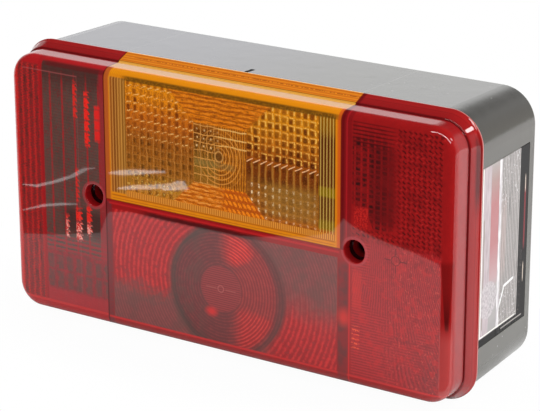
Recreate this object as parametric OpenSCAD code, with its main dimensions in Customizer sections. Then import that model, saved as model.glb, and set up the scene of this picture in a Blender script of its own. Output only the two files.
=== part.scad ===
/* [Body] */
// Width of the housing at its rear face
body_w = 240; // [234:1:262]
// Height of the housing at its rear face
body_h = 128; // [124:1:146]
// Depth from the rear face to the front of the lens
body_d = 71; // [68:1:90]
// Corner radius of the housing at its rear face
body_r = 16; // [10:0.5:18]
// Wall thickness of the housing
wall = 2.8; // [2.2:0.1:3.2]
// How far the walls lean outwards on their way to the lens
draft = 1.7; // [0.5:0.1:2]

/* [Lens] */
// Depth of the lens cap, front face to skirt edge
lens_d = 19; // [17:0.5:22]
// Overhang of the skirt edge past the rear outline
skirt_out = 2.4; // [2.1:0.1:3]
// Radius of the rounded front edge
nose_r = 4.7; // [3:0.1:5.5]
// Corner radius of the lens
lens_r = 13.4; // [11:0.1:16]
// Thickness of the front plate
lens_t = 2.5; // [2:0.1:3]
// Width of the red field at each side
side_w = 56.4; // [54:0.1:59]
// Height of the seam under the amber field
split_z = 0.5; // [-2:0.1:3]
// Height of the optic ribs inside the lens
rib_h = 0.7; // [0.3:0.1:1]
// Pitch of the pillow rows and columns
pillow_pitch = 3.85; // [3:0.05:6]
// Pitch of the rings of the stop field
ring_pitch = 4.8; // [3.6:0.1:6]

/* [Lens screws] */
// Radius of the wells for the screw heads
well_r = 5.2; // [4.6:0.1:5.3]
// Radius of the screws
screw_r = 2; // [1.5:0.1:2.2]

/* [Side window] */
// Distance from the rear face to the window opening
window_in = 4.5; // [4.5:0.5:12]
// Height of the window opening
window_h = 82; // [50:1:86]
// Thickness of the window seal
window_gap = 1; // [0.8:0.1:1.2]

/* [Lamps] */
// Radius of the large bulbs
bulb_r = 13.2; // [11:0.1:13.5]
// Radius of the small bulbs
small_bulb_r = 9; // [7.5:0.1:10]
// Radius of the bulb caps
cap_r = 7.4; // [7:0.1:7.6]

/* [Mounting] */
// Radius of the mounting holes for M6 bolts
mount_r = 3.25; // [2.7:0.05:4.25]
// Distance of each mounting hole from the side edge
mount_in = 15; // [14:0.5:17]
// Height of the mounting holes above the centre
mount_z = 30; // [24:1:38]
// Radius of the hole for the cable grommet
cable_r = 6; // [5:0.1:7]

/* [Fits] */
// Free gap between parts that slide together
fit = 0.2; // [0.1:0.05:0.3]
// Gap around the brass strips in their slots
strip_gap = 0.4; // [0.2:0.05:0.5]

/* [Hidden] */
$fn = 48;
seat_y = -(body_d - lens_d);
front_y = -body_d;
plate_y = front_y + lens_t;
tier_d = 7;
tier_y = seat_y - tier_d;
nose_y = front_y + nose_r;
edge_t = 0.9;
amber_half = body_w / 2 - side_w;
tier_e = -1;
skirt_e = -0.3;
lap = 0.3;
lip_e = skirt_out - 0.2;
skirt_slope = (lip_e - skirt_e) / (tier_d - edge_t);
nose_e = -1.3;
cave_e = -3;
recess_e = -0.4;
seal_t = 1.2;
rim_t = 3.5;
tongue_t = 1.4;
tongue_h = 4;
screw_x = amber_half + 7.1;
screw_z = split_z + 0.2;
side_x = (amber_half + body_w / 2) / 2 - 0.4;
ind_z = body_h / 4 - 0.5;
stop_z = -body_h / 4 + 0.8;
side_z = split_z;
well_t = 1.8;
well_y = seat_y + 4;
tower_r = 4.6;
part_in = 0.8;
part_t = 1.8;
part_y = plate_y + 4.5;
part_x = amber_half - part_in - part_t / 2;
boss_r = 10.5;
boss_in = 7;
boss_y = -10;
strip_t = 0.8;
strip_w = 3.8;
strip_y = -wall;
pad_y = boss_y - strip_t;
sock_r = cap_r + fit + 1.4;
sock_l = 16.2;
sock_floor = 0.8;
cap_y = pad_y - sock_floor;
cap_l = 17.4;
pin_y = cap_y - 10.4;
glass_t = 0.8;
glass_up = 0.88;
neck_r = cap_r - 0.7;
neck_in = 3;
bulb_gap = 0.4;
bowl_y = seat_y - 2;
bowl_rim = body_h / 4 - 5.6;
bowl_off = 2;
bowl_sr = sqrt(bowl_rim * bowl_rim + bowl_off * bowl_off);
tray_t = 1.5;
tray_wall = 1;
tray_y = -26;
tray_half = 15;
post_r = 2.2;
win_front = seat_y + 6.5;
win_back = -window_in;
win_flute = 1.5;
win_plain = 16.8;
win_flutes = floor((win_back - 6 - win_front - win_plain) / win_flute);
win_z = 0.5;
win_lap = 1.6;
win_fit = 0.35;
win_skin = 2.2;
win_edge = 1.6;
win_rib = 0.7;
win_tab = 1.2;
collar_y = -wall - 2;
pad_back = -wall - 1.5;
pitch = 6.5;
term_x = -side_x;
term_z = -body_h / 4 - 9;
term_h = 10;
term_y = strip_y - strip_t;
term_d = 11.4;
lane_r = -body_h / 2 + 10;
lane_e = stop_z + 19.2;
cable_x = -body_w / 2 + 16;
cable_z = -26;
mount_x = body_w / 2 - mount_in;

// Rounded block from y0 forwards by l; the outline offset runs from e0 to e1
module block(r, e0, e1, y0, l)
{
    translate([0, y0, 0])
    rotate([90, 0, 0])
    union()
    {
        for (sx = [-1, 1])
            for (sz = [-1, 1])
                translate([sx * (body_w / 2 - r), sz * (body_h / 2 - r), 0])
                cylinder(h = l, r1 = r + e0, r2 = r + e1);
        rotate([90, 0, 90])
        linear_extrude(height = body_w - 2 * r, center = true)
        polygon([[-body_h / 2 - e0, 0], [body_h / 2 + e0, 0], [body_h / 2 + e1, l], [-body_h / 2 - e1, l]]);
        rotate([90, 0, 0])
        linear_extrude(height = body_h - 2 * r, center = true)
        polygon([[-body_w / 2 - e0, 0], [body_w / 2 + e0, 0], [body_w / 2 + e1, l], [-body_w / 2 - e1, l]]);
    }
}

// Box given by its two corners
module span(x0, x1, y0, y1, z0, z1)
{
    translate([x0, y0, z0])
    cube([x1 - x0, y1 - y0, z1 - z0]);
}

// Round bar along the depth, from y0 forwards by l
module bar(x, z, r, y0, l)
{
    translate([x, y0, z])
    rotate([90, 0, 0])
    cylinder(h = l, r = r);
}

// Front tier of the lens with its rounded edge
module nose()
{
    cx = body_w / 2 - lens_r;
    cz = body_h / 2 - lens_r;
    block(lens_r, tier_e, nose_e, tier_y, tier_y - nose_y);
    block(lens_r, nose_e - nose_r, nose_e - nose_r, nose_y + 1, nose_y + 1 - front_y);
    for (s = [-1, 1])
    {
        translate([-cx, nose_y, s * (body_h / 2 + nose_e - nose_r)])
        rotate([0, 90, 0])
        cylinder(h = 2 * cx, r = nose_r);
        translate([s * (body_w / 2 + nose_e - nose_r), nose_y, -cz])
        cylinder(h = 2 * cz, r = nose_r);
    }
    for (sx = [-1, 1])
        for (sz = [-1, 1])
            translate([sx * cx, nose_y, sz * cz])
            rotate([90, 0, 0])
            rotate([0, 0, atan2(sz, sx) - 45])
            rotate_extrude(angle = 90)
            translate([lens_r + nose_e - nose_r, 0])
            circle(r = nose_r);
}

// Lens cap in one colour, with screw wells
module cap()
{
    difference()
    {
        union()
        {
            block(lens_r, skirt_out, skirt_out, seat_y, edge_t);
            block(lens_r, lip_e + lap * skirt_slope, skirt_e, seat_y - edge_t + lap, seat_y - edge_t + lap - tier_y);
            block(lens_r, tier_e - lap, tier_e - lap, seat_y - edge_t, seat_y - edge_t - tier_y + 1);
            nose();
        }
        block(lens_r, cave_e, cave_e, seat_y + 1, seat_y + 1 - plate_y);
        block(lens_r, recess_e, recess_e, seat_y + 1, 1 + seal_t);
    }
}

module wells()
{
    for (s = [-1, 1])
        bar(s * screw_x, screw_z, well_r + well_t, well_y, well_y - plate_y + 0.5);
}

module well_cuts()
{
    for (s = [-1, 1])
    {
        bar(s * screw_x, screw_z, well_r, well_y - 2, body_d);
        bar(s * screw_x, screw_z, screw_r + fit, well_y + 1, body_d);
    }
}

module amber_zone(g)
{
    span(-amber_half - g, amber_half + g, front_y - 5, seat_y + 5, split_z - g, body_h);
}

module left_zone()
{
    span(-body_w, -amber_half, front_y - 5, seat_y + 9, -body_h, body_h);
}

// Straight rib on the inner face of the front plate
module rib_v(x, z0, z1, w)
{
    span(x - w / 2, x + w / 2, plate_y - 0.4, plate_y + rib_h, z0, z1);
}

module rib_h(z, x0, x1, w)
{
    span(x0, x1, plate_y - 0.4, plate_y + rib_h, z - w / 2, z + w / 2);
}

// Flutes at both sides, rows above and below the centre square, columns beside it
module amber_ribs()
{
    z0 = split_z + 5.7;
    z1 = body_h / 2 - 5;
    x1 = amber_half - 11.5;
    sq = 15;
    n = floor((x1 - sq) / pillow_pitch);
    m = floor((z1 - ind_z - sq) / pillow_pitch);
    for (s = [-1, 1])
        for (i = [0 : 5])
            rib_v(s * (amber_half - 3.6 - i * 1.4), split_z + 3, z1, 0.7);
    for (s = [-1, 1])
        for (i = [0 : n])
            rib_v(s * (sq + i * pillow_pitch), max(z0, ind_z - sq - i * pillow_pitch * 0.36),
                min(z1, ind_z + sq + i * pillow_pitch * 0.36), 0.9);
    for (i = [0 : m])
    {
        w = min(x1, sq + i * pillow_pitch * 2.6);
        rib_h(ind_z + sq + i * pillow_pitch, -w, w, 0.9);
        rib_h(ind_z - sq - i * pillow_pitch * 0.75, -w, w, 0.9);
    }
    difference()
    {
        bar(0, ind_z, 4, plate_y + rib_h, rib_h + 0.4);
        bar(0, ind_z, 2.5, plate_y + 2, 4);
    }
}

// Rings of the stop field, cut to the field's edges
module stop_rings()
{
    intersection()
    {
        union()
        {
            for (i = [0 : floor(54 / ring_pitch)])
                translate([0, plate_y, stop_z])
                rotate([-90, 0, 0])
                rotate_extrude()
                polygon([[10.4 + i * ring_pitch, -0.4], [11.6 + i * ring_pitch, -0.4],
                    [11.6 + i * ring_pitch, 0], [10.4 + i * ring_pitch, rib_h]]);
            for (i = [-4 : 4])
                rib_h(stop_z + i * 2, -sqrt(98 - 4 * i * i), sqrt(98 - 4 * i * i), 0.8);
        }
        span(-amber_half + 3.4, amber_half - 1.2, plate_y - 1, plate_y + 2, -body_h / 2 + 6.5, split_z - 3.5);
    }
}

module left_ribs()
{
    for (i = [0 : 4])
        rib_v(-amber_half - 3.8 - i * 6.6, i == 0 ? 8.5 : -body_h / 2 + 8, body_h / 2 - 8, 1.2);
    rib_v(-amber_half - 3.8, -body_h / 2 + 8, -8.5, 1.2);
    for (i = [0 : 3])
        rib_v(-body_w / 2 + 8 + i * 3.2, -body_h / 2 + 10, body_h / 2 - 10, 0.9);
    for (i = [0 : 3])
        rib_h(-body_h / 4 - i * 6, -body_w / 2 + 20, -amber_half - 2, 1);
}

module right_ribs()
{
    x0 = amber_half + 15.4;
    x1 = body_w / 2 - 8;
    n = floor((x1 - x0) / 3.5);
    for (i = [0 : n])
        rib_v(x0 + i * 3.5, 8, body_h / 2 - 8, 0.8);
    for (i = [0 : 5])
        rib_h(10 + i * 2 * pillow_pitch, x0, x1, 0.8);
    for (i = [0 : n])
        rib_v(x0 + i * 3.5, -body_h / 2 + 8, -8, 1);
}

module lens_left()
{
    color("#b3171c")
    difference()
    {
        union()
        {
            intersection()
            {
                cap();
                left_zone();
            }
            bar(-screw_x, screw_z, well_r + well_t, well_y, well_y - plate_y + 0.5);
            left_ribs();
        }
        well_cuts();
    }
}

module lens_amber()
{
    color("#e08a12")
    union()
    {
        intersection()
        {
            cap();
            amber_zone(0);
        }
        amber_ribs();
    }
}

module lens_main()
{
    color("#b3171c")
    difference()
    {
        union()
        {
            difference()
            {
                cap();
                amber_zone(0);
                left_zone();
            }
            bar(screw_x, screw_z, well_r + well_t, well_y, well_y - plate_y + 0.5);
            stop_rings();
            right_ribs();
        }
        well_cuts();
    }
}

module lens_seal()
{
    color("#2a2a2a")
    difference()
    {
        block(lens_r, recess_e - 0.1, recess_e - 0.1, seat_y, seal_t);
        block(lens_r, cave_e, cave_e, seat_y + 1, seal_t + 2);
    }
}

// Drafted body outline moved outwards by e, cut square at the lens seat plus extra
module shell(e, extra)
{
    block(body_r, e, e + draft * (extra - seat_y) / -seat_y, 0, extra - seat_y);
}

// Brass strips drawn as boxes, grown by g for their slots
module lane(x0, x1, z0, z1, y, g)
{
    span(min(x0, x1) - strip_w / 2 - g, max(x0, x1) + strip_w / 2 + g, y - strip_t - g, y,
        min(z0, z1) - strip_w / 2 - g, max(z0, z1) + strip_w / 2 + g);
}

module path_indicator(g)
{
    lane(term_x + 2 * pitch, term_x + 2 * pitch, term_z + 3, ind_z, strip_y, g);
    lane(term_x + 2 * pitch, 0, ind_z, ind_z, strip_y, g);
}

module path_stop(g)
{
    lane(term_x + 3 * pitch, term_x + 3 * pitch, term_z + 3, stop_z, strip_y, g);
    lane(term_x + 3 * pitch, 0, stop_z, stop_z, strip_y, g);
}

module path_left(g)
{
    lane(term_x, term_x, term_z + 3, side_z, strip_y, g);
}

module path_right(g)
{
    lane(term_x - pitch, term_x - pitch, term_z + 3, lane_r, strip_y, g);
    lane(term_x - pitch, side_x, lane_r, lane_r, strip_y, g);
    lane(side_x, side_x, lane_r, side_z, strip_y, g);
}

module path_earth(g)
{
    lane(-side_x, side_x, lane_e, lane_e, boss_y, g);
    lane(-side_x, -side_x, lane_e, side_z - 8, boss_y, g);
    lane(side_x, side_x, lane_e, side_z - 8, boss_y, g);
    lane(0, 0, lane_e, stop_z + 8, boss_y, g);
    lane(0, 0, lane_e, ind_z - 8, boss_y, g);
    lane(term_x + pitch, term_x + pitch, term_z, lane_e, boss_y, g);
}

// Places of the four lamps
module at_indicator()
{
    translate([0, 0, ind_z])
    children();
}

module at_stop()
{
    translate([0, 0, stop_z])
    children();
}

module at_left()
{
    translate([-side_x, 0, side_z])
    children();
}

module at_right()
{
    translate([side_x, 0, side_z])
    children();
}

module boss()
{
    bar(0, 0, boss_r, -1, -1 - boss_y);
}

module boss_cut()
{
    bar(0, 0, boss_in, -wall, 20);
}

module window_cut(g, x0)
{
    span(x0, body_w, win_front - g, win_back + g, win_z - window_h / 2 - g, win_z + window_h / 2 + g);
}

module window_tab(g)
{
    span(body_w / 2 - win_tab + g, body_w, seat_y + 1.6 + g, win_front + 1,
        win_z - window_h / 2 + g, win_z + window_h / 2 - g);
}

module housing()
{
    color("#55565a")
    difference()
    {
        union()
        {
            difference()
            {
                shell(0, 0);
                intersection()
                {
                    shell(-wall, 1);
                    span(-body_w, body_w, -body_d, -wall, -body_h, body_h);
                }
            }
            intersection()
            {
                difference()
                {
                    block(lens_r, cave_e + 5, cave_e + 5, seat_y + rim_t, rim_t);
                    block(lens_r, cave_e - fit - tongue_t, cave_e - fit - tongue_t, seat_y + rim_t + 1, rim_t + 2);
                }
                shell(-0.3, 0);
            }
            difference()
            {
                block(lens_r, cave_e - fit, cave_e - fit, seat_y + 1, tongue_h + 1);
                block(lens_r, cave_e - fit - tongue_t, cave_e - fit - tongue_t, seat_y + 2, tongue_h + 3);
            }
            for (s = [-1, 1])
            {
                span(s * part_x - part_t / 2, s * part_x + part_t / 2, seat_y, -1, -body_h / 2 + 1.2, body_h / 2 - 1.2);
                span(s * part_x - part_t / 2, s * part_x + part_t / 2, part_y, seat_y + 1,
                    -body_h / 2 - cave_e + fit, body_h / 2 + cave_e - fit);
                bar(s * screw_x, screw_z, tower_r, -1, -1 - well_y);
                bar(s * mount_x, mount_z, mount_r + 4.5, -0.5, -0.5 - pad_back);
                bar(s * 55, -body_h / 2 + 8.5, post_r, -1, -1 - bowl_y);
                bar(s * 55, split_z - 6, post_r, -1, -1 - bowl_y);
                for (t = [-1, 1])
                    bar(s * 12.5, ind_z + t * 12.5, post_r, -1, -1 - tray_y);
            }
            span(-amber_half + 2, amber_half - 2, part_y, -1, split_z - 0.9, split_z + 0.9);
            for (t = [-1, 1])
                bar(side_x - 12, side_z + t * 42, post_r, -1, -1 - tray_y);
            at_indicator() boss();
            at_stop() boss();
            at_left() boss();
            at_right() boss();
            bar(cable_x, cable_z, cable_r + 3, -1, -1 - collar_y);
        }
        at_indicator() boss_cut();
        at_stop() boss_cut();
        at_left() boss_cut();
        at_right() boss_cut();
        path_indicator(strip_gap);
        path_stop(strip_gap);
        path_left(strip_gap);
        path_right(strip_gap);
        path_earth(strip_gap);
        window_cut(0, body_w / 2 - wall - 8);
        window_tab(0);
        for (s = [-1, 1])
        {
            bar(s * screw_x, screw_z, screw_r + 0.05, -wall - 6, body_d);
            bar(s * mount_x, mount_z, mount_r + 2, 5, wall + 20);
            span(s * (side_x + 8) - 3, s * (side_x + 8) + 3, -14, -11, -body_h, -body_h / 2 + wall + 1);
        }
        bar(cable_x, cable_z, cable_r, 5, wall + 20);
        bar(cable_x, cable_z, cable_r + 2 + fit, 1, 1.8);
        difference()
        {
            span(-body_w / 2 + 12, body_w / 2 - 12, -0.8, 5, -body_h / 2 + 12, body_h / 2 - 12);
            for (s = [-1, 1])
            {
                bar(s * mount_x, mount_z, mount_r + 6, 1, 4);
                span(s * 40 - 1.2, s * 40 + 1.2, -2, 0, -body_h, body_h);
            }
            span(-body_w, body_w, -2, 0, -1.2, 1.2);
        }
        span(-5.3, -2.3, seat_y - 0.1, seat_y + 1.1, body_h / 2 - 0.2, body_h);
    }
}

// Clear window: plug in the opening, flange behind the wall, hollow from the inside
module side_window()
{
    color("#e6e4e4", 0.5)
    union()
    {
        difference()
        {
            union()
            {
                intersection()
                {
                    shell(0, 0);
                    window_cut(-win_fit, body_w / 2 - wall - 8);
                }
                intersection()
                {
                    shell(0, 0);
                    window_tab(win_fit);
                }
                intersection()
                {
                    shell(-wall - window_gap, 0);
                    window_cut(win_lap, body_w / 2 - wall - 8);
                }
            }
            shell(-wall - window_gap - 1.4, 5);
            intersection()
            {
                shell(-win_skin, 5);
                window_cut(-win_fit - win_edge, 0);
            }
        }
        difference()
        {
            intersection()
            {
                shell(-win_skin + 0.3, 0);
                for (i = [0 : win_flutes])
                    span(body_w / 2 - 8, body_w, win_front + win_plain + i * win_flute,
                        win_front + win_plain + 0.7 + i * win_flute,
                        win_z - window_h / 2 + 1.5, win_z + window_h / 2 - 1.5);
                window_cut(-win_fit - 0.5, 0);
            }
            shell(-win_skin - win_rib, 5);
        }
    }
}

module window_seal()
{
    color("#1d1d1d")
    difference()
    {
        intersection()
        {
            shell(-wall, 0);
            window_cut(win_lap, body_w / 2 - wall - 8);
        }
        shell(-wall - window_gap, 5);
        window_cut(0, 0);
    }
}

// Four-sided tray that narrows to a square floor behind the indicator bulb
module frustum(g)
{
    x1 = amber_half - part_in - part_t - 0.6 - tray_t;
    z1 = min(body_h / 2 - 6.6 - ind_z, ind_z - split_z - 1.4) - tray_t;
    intersection()
    {
        translate([0, 0, -100])
        linear_extrude(height = 200)
        polygon([[-tray_half - g, tray_y + g], [tray_half + g, tray_y + g], [x1 + g, bowl_y], [x1 + g, bowl_y - 9],
            [-x1 - g, bowl_y - 9], [-x1 - g, bowl_y]]);
        translate([-100, 0, ind_z])
        rotate([90, 0, 90])
        linear_extrude(height = 200)
        polygon([[tray_y + g, -tray_half - g], [tray_y + g, tray_half + g], [bowl_y, z1 + g], [bowl_y - 9, z1 + g],
            [bowl_y - 9, -z1 - g], [bowl_y, -z1 - g]]);
    }
}

module reflector_indicator()
{
    color("#c9ccd0")
    difference()
    {
        frustum(0);
        frustum(-tray_wall);
        span(-100, 100, bowl_y - 20, bowl_y - 4, 0, 100);
        bar(0, ind_z, sock_r + 0.8, 0, body_d);
    }
}

module reflector_stop()
{
    x1 = amber_half - part_in - part_t - 0.6;
    color("#c9ccd0")
    difference()
    {
        union()
        {
            span(-x1, x1, bowl_y - tray_t, bowl_y, -body_h / 2 + 6.2, split_z - 1.6);
            intersection()
            {
                translate([0, bowl_y - bowl_off, stop_z])
                sphere(r = bowl_sr + tray_t, $fn = 64);
                span(-100, 100, bowl_y - 0.1, 0, -body_h / 2 + 4.9, split_z - 1.6);
            }
        }
        translate([0, bowl_y - bowl_off, stop_z])
        sphere(r = bowl_sr, $fn = 64);
        bar(0, stop_z, bulb_r + bulb_gap, 0, body_d);
    }
}

module reflector_right()
{
    color("#c9ccd0")
    difference()
    {
        span(amber_half + 0.4, side_x + 5, tray_y - tray_t, tray_y, -body_h / 2 + 8, body_h / 2 - 8);
        bar(side_x, side_z, sock_r + 0.8, 0, body_d);
        bar(screw_x, screw_z, tower_r + 0.6, 0, body_d);
    }
}

module socket()
{
    color("#b9b7ae")
    difference()
    {
        bar(0, 0, sock_r, pad_y, sock_l);
        bar(0, 0, cap_r + fit, pad_y - sock_floor, body_d);
        bar(0, 0, 4, 0, body_d);
        span(-1.3, 1.3, pad_y - sock_l - 1, pin_y + 1.3, -20, 20);
    }
}

module bulb_cap()
{
    color("#c5a557")
    difference()
    {
        union()
        {
            bar(0, 0, cap_r, cap_y, cap_l);
            for (s = [-1, 1])
                translate([0, pin_y, s * cap_r])
                cylinder(h = 2, r = 1, center = true);
        }
        bar(0, 0, neck_r + 0.1, cap_y - cap_l + neck_in, body_d);
        bar(0, 0, cap_r - 1.6, cap_y - 2, body_d);
    }
}

module bulb_glass(r)
{
    y0 = cap_y - cap_l + neck_in;
    yc = cap_y - cap_l - r * glass_up;
    color("#f2f2f2", 0.4)
    difference()
    {
        union()
        {
            bar(0, 0, neck_r, y0, y0 - yc);
            translate([0, yc, 0])
            sphere(r = r);
        }
        bar(0, 0, neck_r - glass_t, y0 + 1, y0 + 1 - yc);
        translate([0, yc, 0])
        sphere(r = r - glass_t);
    }
}

module filament(r)
{
    yc = cap_y - cap_l - r * glass_up;
    color("#9a9a9a")
    union()
    {
        for (s = [-1, 1])
            bar(s * 3, 0, 0.4, cap_y - 2, cap_y - 2 - yc);
        translate([-3.7, yc, 0])
        rotate([0, 90, 0])
        cylinder(h = 7.4, r = 0.6);
    }
}

module pin()
{
    bar(0, 0, 2, strip_y, strip_y - cap_y);
}

module earth_strip()
{
    color("#c8a24a")
    difference()
    {
        union()
        {
            path_earth(0);
            at_indicator() bar(0, 0, boss_r - 0.5, boss_y, strip_t);
            at_stop() bar(0, 0, boss_r - 0.5, boss_y, strip_t);
            at_left() bar(0, 0, boss_r - 0.5, boss_y, strip_t);
            at_right() bar(0, 0, boss_r - 0.5, boss_y, strip_t);
        }
        at_indicator() boss_cut();
        at_stop() boss_cut();
        at_left() boss_cut();
        at_right() boss_cut();
    }
}

module live_indicator()
{
    color("#c8a24a")
    union()
    {
        path_indicator(0);
        at_indicator() pin();
    }
}

module live_stop()
{
    color("#c8a24a")
    union()
    {
        path_stop(0);
        at_stop() pin();
    }
}

module live_left()
{
    color("#c8a24a")
    union()
    {
        path_left(0);
        at_left() pin();
    }
}

module live_right()
{
    color("#c8a24a")
    union()
    {
        path_right(0);
        at_right() pin();
    }
}

module terminal_block()
{
    color("#d8d6cc")
    difference()
    {
        union()
        {
            span(term_x - pitch - 4, term_x + 3 * pitch + 4, term_y - term_d, term_y, term_z - term_h / 2, term_z + term_h / 2);
            span(term_x - pitch - 4, term_x - pitch - 2.2, term_y - 1, strip_y, term_z - term_h / 2, term_z + term_h / 2);
            span(term_x + 3 * pitch + 2.2, term_x + 3 * pitch + 4, term_y - 1, strip_y, term_z - term_h / 2, term_z + term_h / 2);
        }
        path_earth(0.2);
        for (i = [-1 : 3])
        {
            bar(term_x + i * pitch, term_z, 1.8, term_y - 4, body_d);
            translate([term_x + i * pitch, term_y - 5.8, term_z - term_h])
            cylinder(h = term_h, r = 1.5);
        }
    }
}

module terminal_screws()
{
    color("#b9b7ae")
    for (i = [-1 : 3])
        difference()
        {
            bar(term_x + i * pitch, term_z, 1.8, term_y - 7.6, 3.2);
            span(term_x + i * pitch - 3, term_x + i * pitch + 3, term_y - 12, term_y - 10.2, term_z - 0.3, term_z + 0.3);
        }
}

module cable_grommet()
{
    color("#1d1d1d")
    difference()
    {
        union()
        {
            bar(cable_x, cable_z, cable_r, 0, 1.4 - collar_y);
            bar(cable_x, cable_z, cable_r + 2, 0, 0.8);
            bar(cable_x, cable_z, cable_r + 1.6, collar_y, 1.4);
        }
        bar(cable_x, cable_z, 3.5, 5, 20);
    }
}

module lens_screws()
{
    color("#2c2c2e")
    for (s = [-1, 1])
        difference()
        {
            union()
            {
                bar(s * screw_x, screw_z, screw_r, -wall - 8, -wall - 8 - (well_y - 4));
                bar(s * screw_x, screw_z, screw_r + 2, well_y - 3, 2.6);
            }
            span(s * screw_x - 0.5, s * screw_x + 0.5, well_y - 6, well_y - 4.4, screw_z - 2.6, screw_z + 2.6);
            span(s * screw_x - 2.6, s * screw_x + 2.6, well_y - 6, well_y - 4.4, screw_z - 0.5, screw_z + 0.5);
        }
}

module screw_seals()
{
    color("#1d1d1d")
    for (s = [-1, 1])
        difference()
        {
            bar(s * screw_x, screw_z, screw_r + 2.2, well_y - 2, 1);
            bar(s * screw_x, screw_z, screw_r + 0.05, 0, body_d);
        }
}

module mount_bushings()
{
    color("#1d1d1d")
    for (s = [-1, 1])
        difference()
        {
            union()
            {
                bar(s * mount_x, mount_z, mount_r + 2, 0, -pad_back);
                bar(s * mount_x, mount_z, mount_r + 3.8, pad_back, 1.2);
            }
            bar(s * mount_x, mount_z, mount_r, 5, 20);
        }
}

module socket_indicator()
{
    at_indicator() socket();
}

module socket_stop()
{
    at_stop() socket();
}

module socket_left()
{
    at_left() socket();
}

module socket_right()
{
    at_right() socket();
}

module bulb_glass_indicator()
{
    at_indicator() bulb_glass(bulb_r);
}

module bulb_glass_stop()
{
    at_stop() bulb_glass(bulb_r);
}

module bulb_glass_left()
{
    at_left() bulb_glass(small_bulb_r);
}

module bulb_glass_right()
{
    at_right() bulb_glass(small_bulb_r);
}

module bulb_cap_indicator()
{
    at_indicator() bulb_cap();
}

module bulb_cap_stop()
{
    at_stop() bulb_cap();
}

module bulb_cap_left()
{
    at_left() bulb_cap();
}

module bulb_cap_right()
{
    at_right() bulb_cap();
}

module filament_indicator()
{
    at_indicator() filament(bulb_r);
}

module filament_stop()
{
    at_stop() filament(bulb_r);
}

module filament_left()
{
    at_left() filament(small_bulb_r);
}

module filament_right()
{
    at_right() filament(small_bulb_r);
}

housing();
lens_seal();
lens_left();
lens_amber();
lens_main();
side_window();
window_seal();
reflector_indicator();
reflector_stop();
reflector_right();
socket_indicator();
socket_stop();
socket_left();
socket_right();
bulb_glass_indicator();
bulb_glass_stop();
bulb_glass_left();
bulb_glass_right();
bulb_cap_indicator();
bulb_cap_stop();
bulb_cap_left();
bulb_cap_right();
filament_indicator();
filament_stop();
filament_left();
filament_right();
earth_strip();
live_indicator();
live_stop();
live_left();
live_right();
terminal_block();
terminal_screws();
cable_grommet();
lens_screws();
screw_seals();
mount_bushings();
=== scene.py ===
import math
import bpy
import numpy as np
from mathutils import Matrix, Vector


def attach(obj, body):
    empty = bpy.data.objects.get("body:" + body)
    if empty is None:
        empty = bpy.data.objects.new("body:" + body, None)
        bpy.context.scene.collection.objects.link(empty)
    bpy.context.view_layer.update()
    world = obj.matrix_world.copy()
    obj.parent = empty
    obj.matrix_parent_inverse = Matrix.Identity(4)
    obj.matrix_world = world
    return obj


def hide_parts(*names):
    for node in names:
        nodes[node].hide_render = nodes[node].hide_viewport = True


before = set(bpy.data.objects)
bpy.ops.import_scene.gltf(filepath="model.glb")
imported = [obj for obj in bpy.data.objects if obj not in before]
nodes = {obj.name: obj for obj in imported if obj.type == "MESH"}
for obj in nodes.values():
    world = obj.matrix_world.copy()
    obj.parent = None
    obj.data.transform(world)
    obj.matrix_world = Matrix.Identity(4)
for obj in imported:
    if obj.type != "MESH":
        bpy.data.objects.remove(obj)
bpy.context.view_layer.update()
scene = bpy.context.scene
scene.view_settings.view_transform = "Standard"
mm = 0.001
print("frame loaded:", len(nodes), "nodes")


# small helpers for meshes

def meshObject(name, points, faces, material, sharp=35.0):
    # points in mm, faces as index tuples; smooth shading with creases past the angle
    mesh = bpy.data.meshes.new(name)
    mesh.from_pydata((np.asarray(points, float) * mm).tolist(), [], faces)
    mesh.materials.append(material)
    mesh.polygons.foreach_set("use_smooth", np.ones(len(mesh.polygons), bool))
    mesh.validate()
    mesh.update()
    mesh.set_sharp_from_angle(angle=math.radians(sharp))
    piece = bpy.data.objects.new(name, mesh)
    scene.collection.objects.link(piece)
    return piece


def loopFaces(index):
    # quads between the rows of an index array whose columns close on themselves
    after = np.roll(index, -1, axis=1)
    return np.stack([index[:-1], after[:-1], after[1:], index[1:]], -1).reshape(-1, 4)


def thickSheet(outer, inner, faces):
    # closed solid between two sheets that share their faces: the outer sheet as it is,
    # the inner one turned round, and a wall along each edge that only one face uses
    used, quads = np.unique(faces, return_inverse=True)
    quads = quads.reshape(-1, 4)
    count = len(used)
    edges = np.concatenate([quads[:, [i, (i + 1) % 4]] for i in range(4)])
    edges = edges[edges[:, 0] != edges[:, 1]]
    key = edges[:, 0] * count + edges[:, 1]
    back = edges[:, 1] * count + edges[:, 0]
    rim = edges[~np.isin(key, back)]
    walls = np.stack([rim[:, 1], rim[:, 0], rim[:, 0] + count, rim[:, 1] + count], 1)
    return np.concatenate([outer[used], inner[used]]), np.concatenate([quads, quads[:, ::-1] + count, walls])


def faceList(quads):
    # quads as they are; where two neighbouring corners are one point, the triangle of the other three
    same = quads == np.roll(quads, 1, axis=1)
    closed = same.any(axis=1)
    order = (same[closed].argmax(axis=1)[:, None] + np.arange(3)) % 4
    return quads[~closed].tolist() + np.take_along_axis(quads[closed], order, 1).tolist()


# shader maths on sockets

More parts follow.
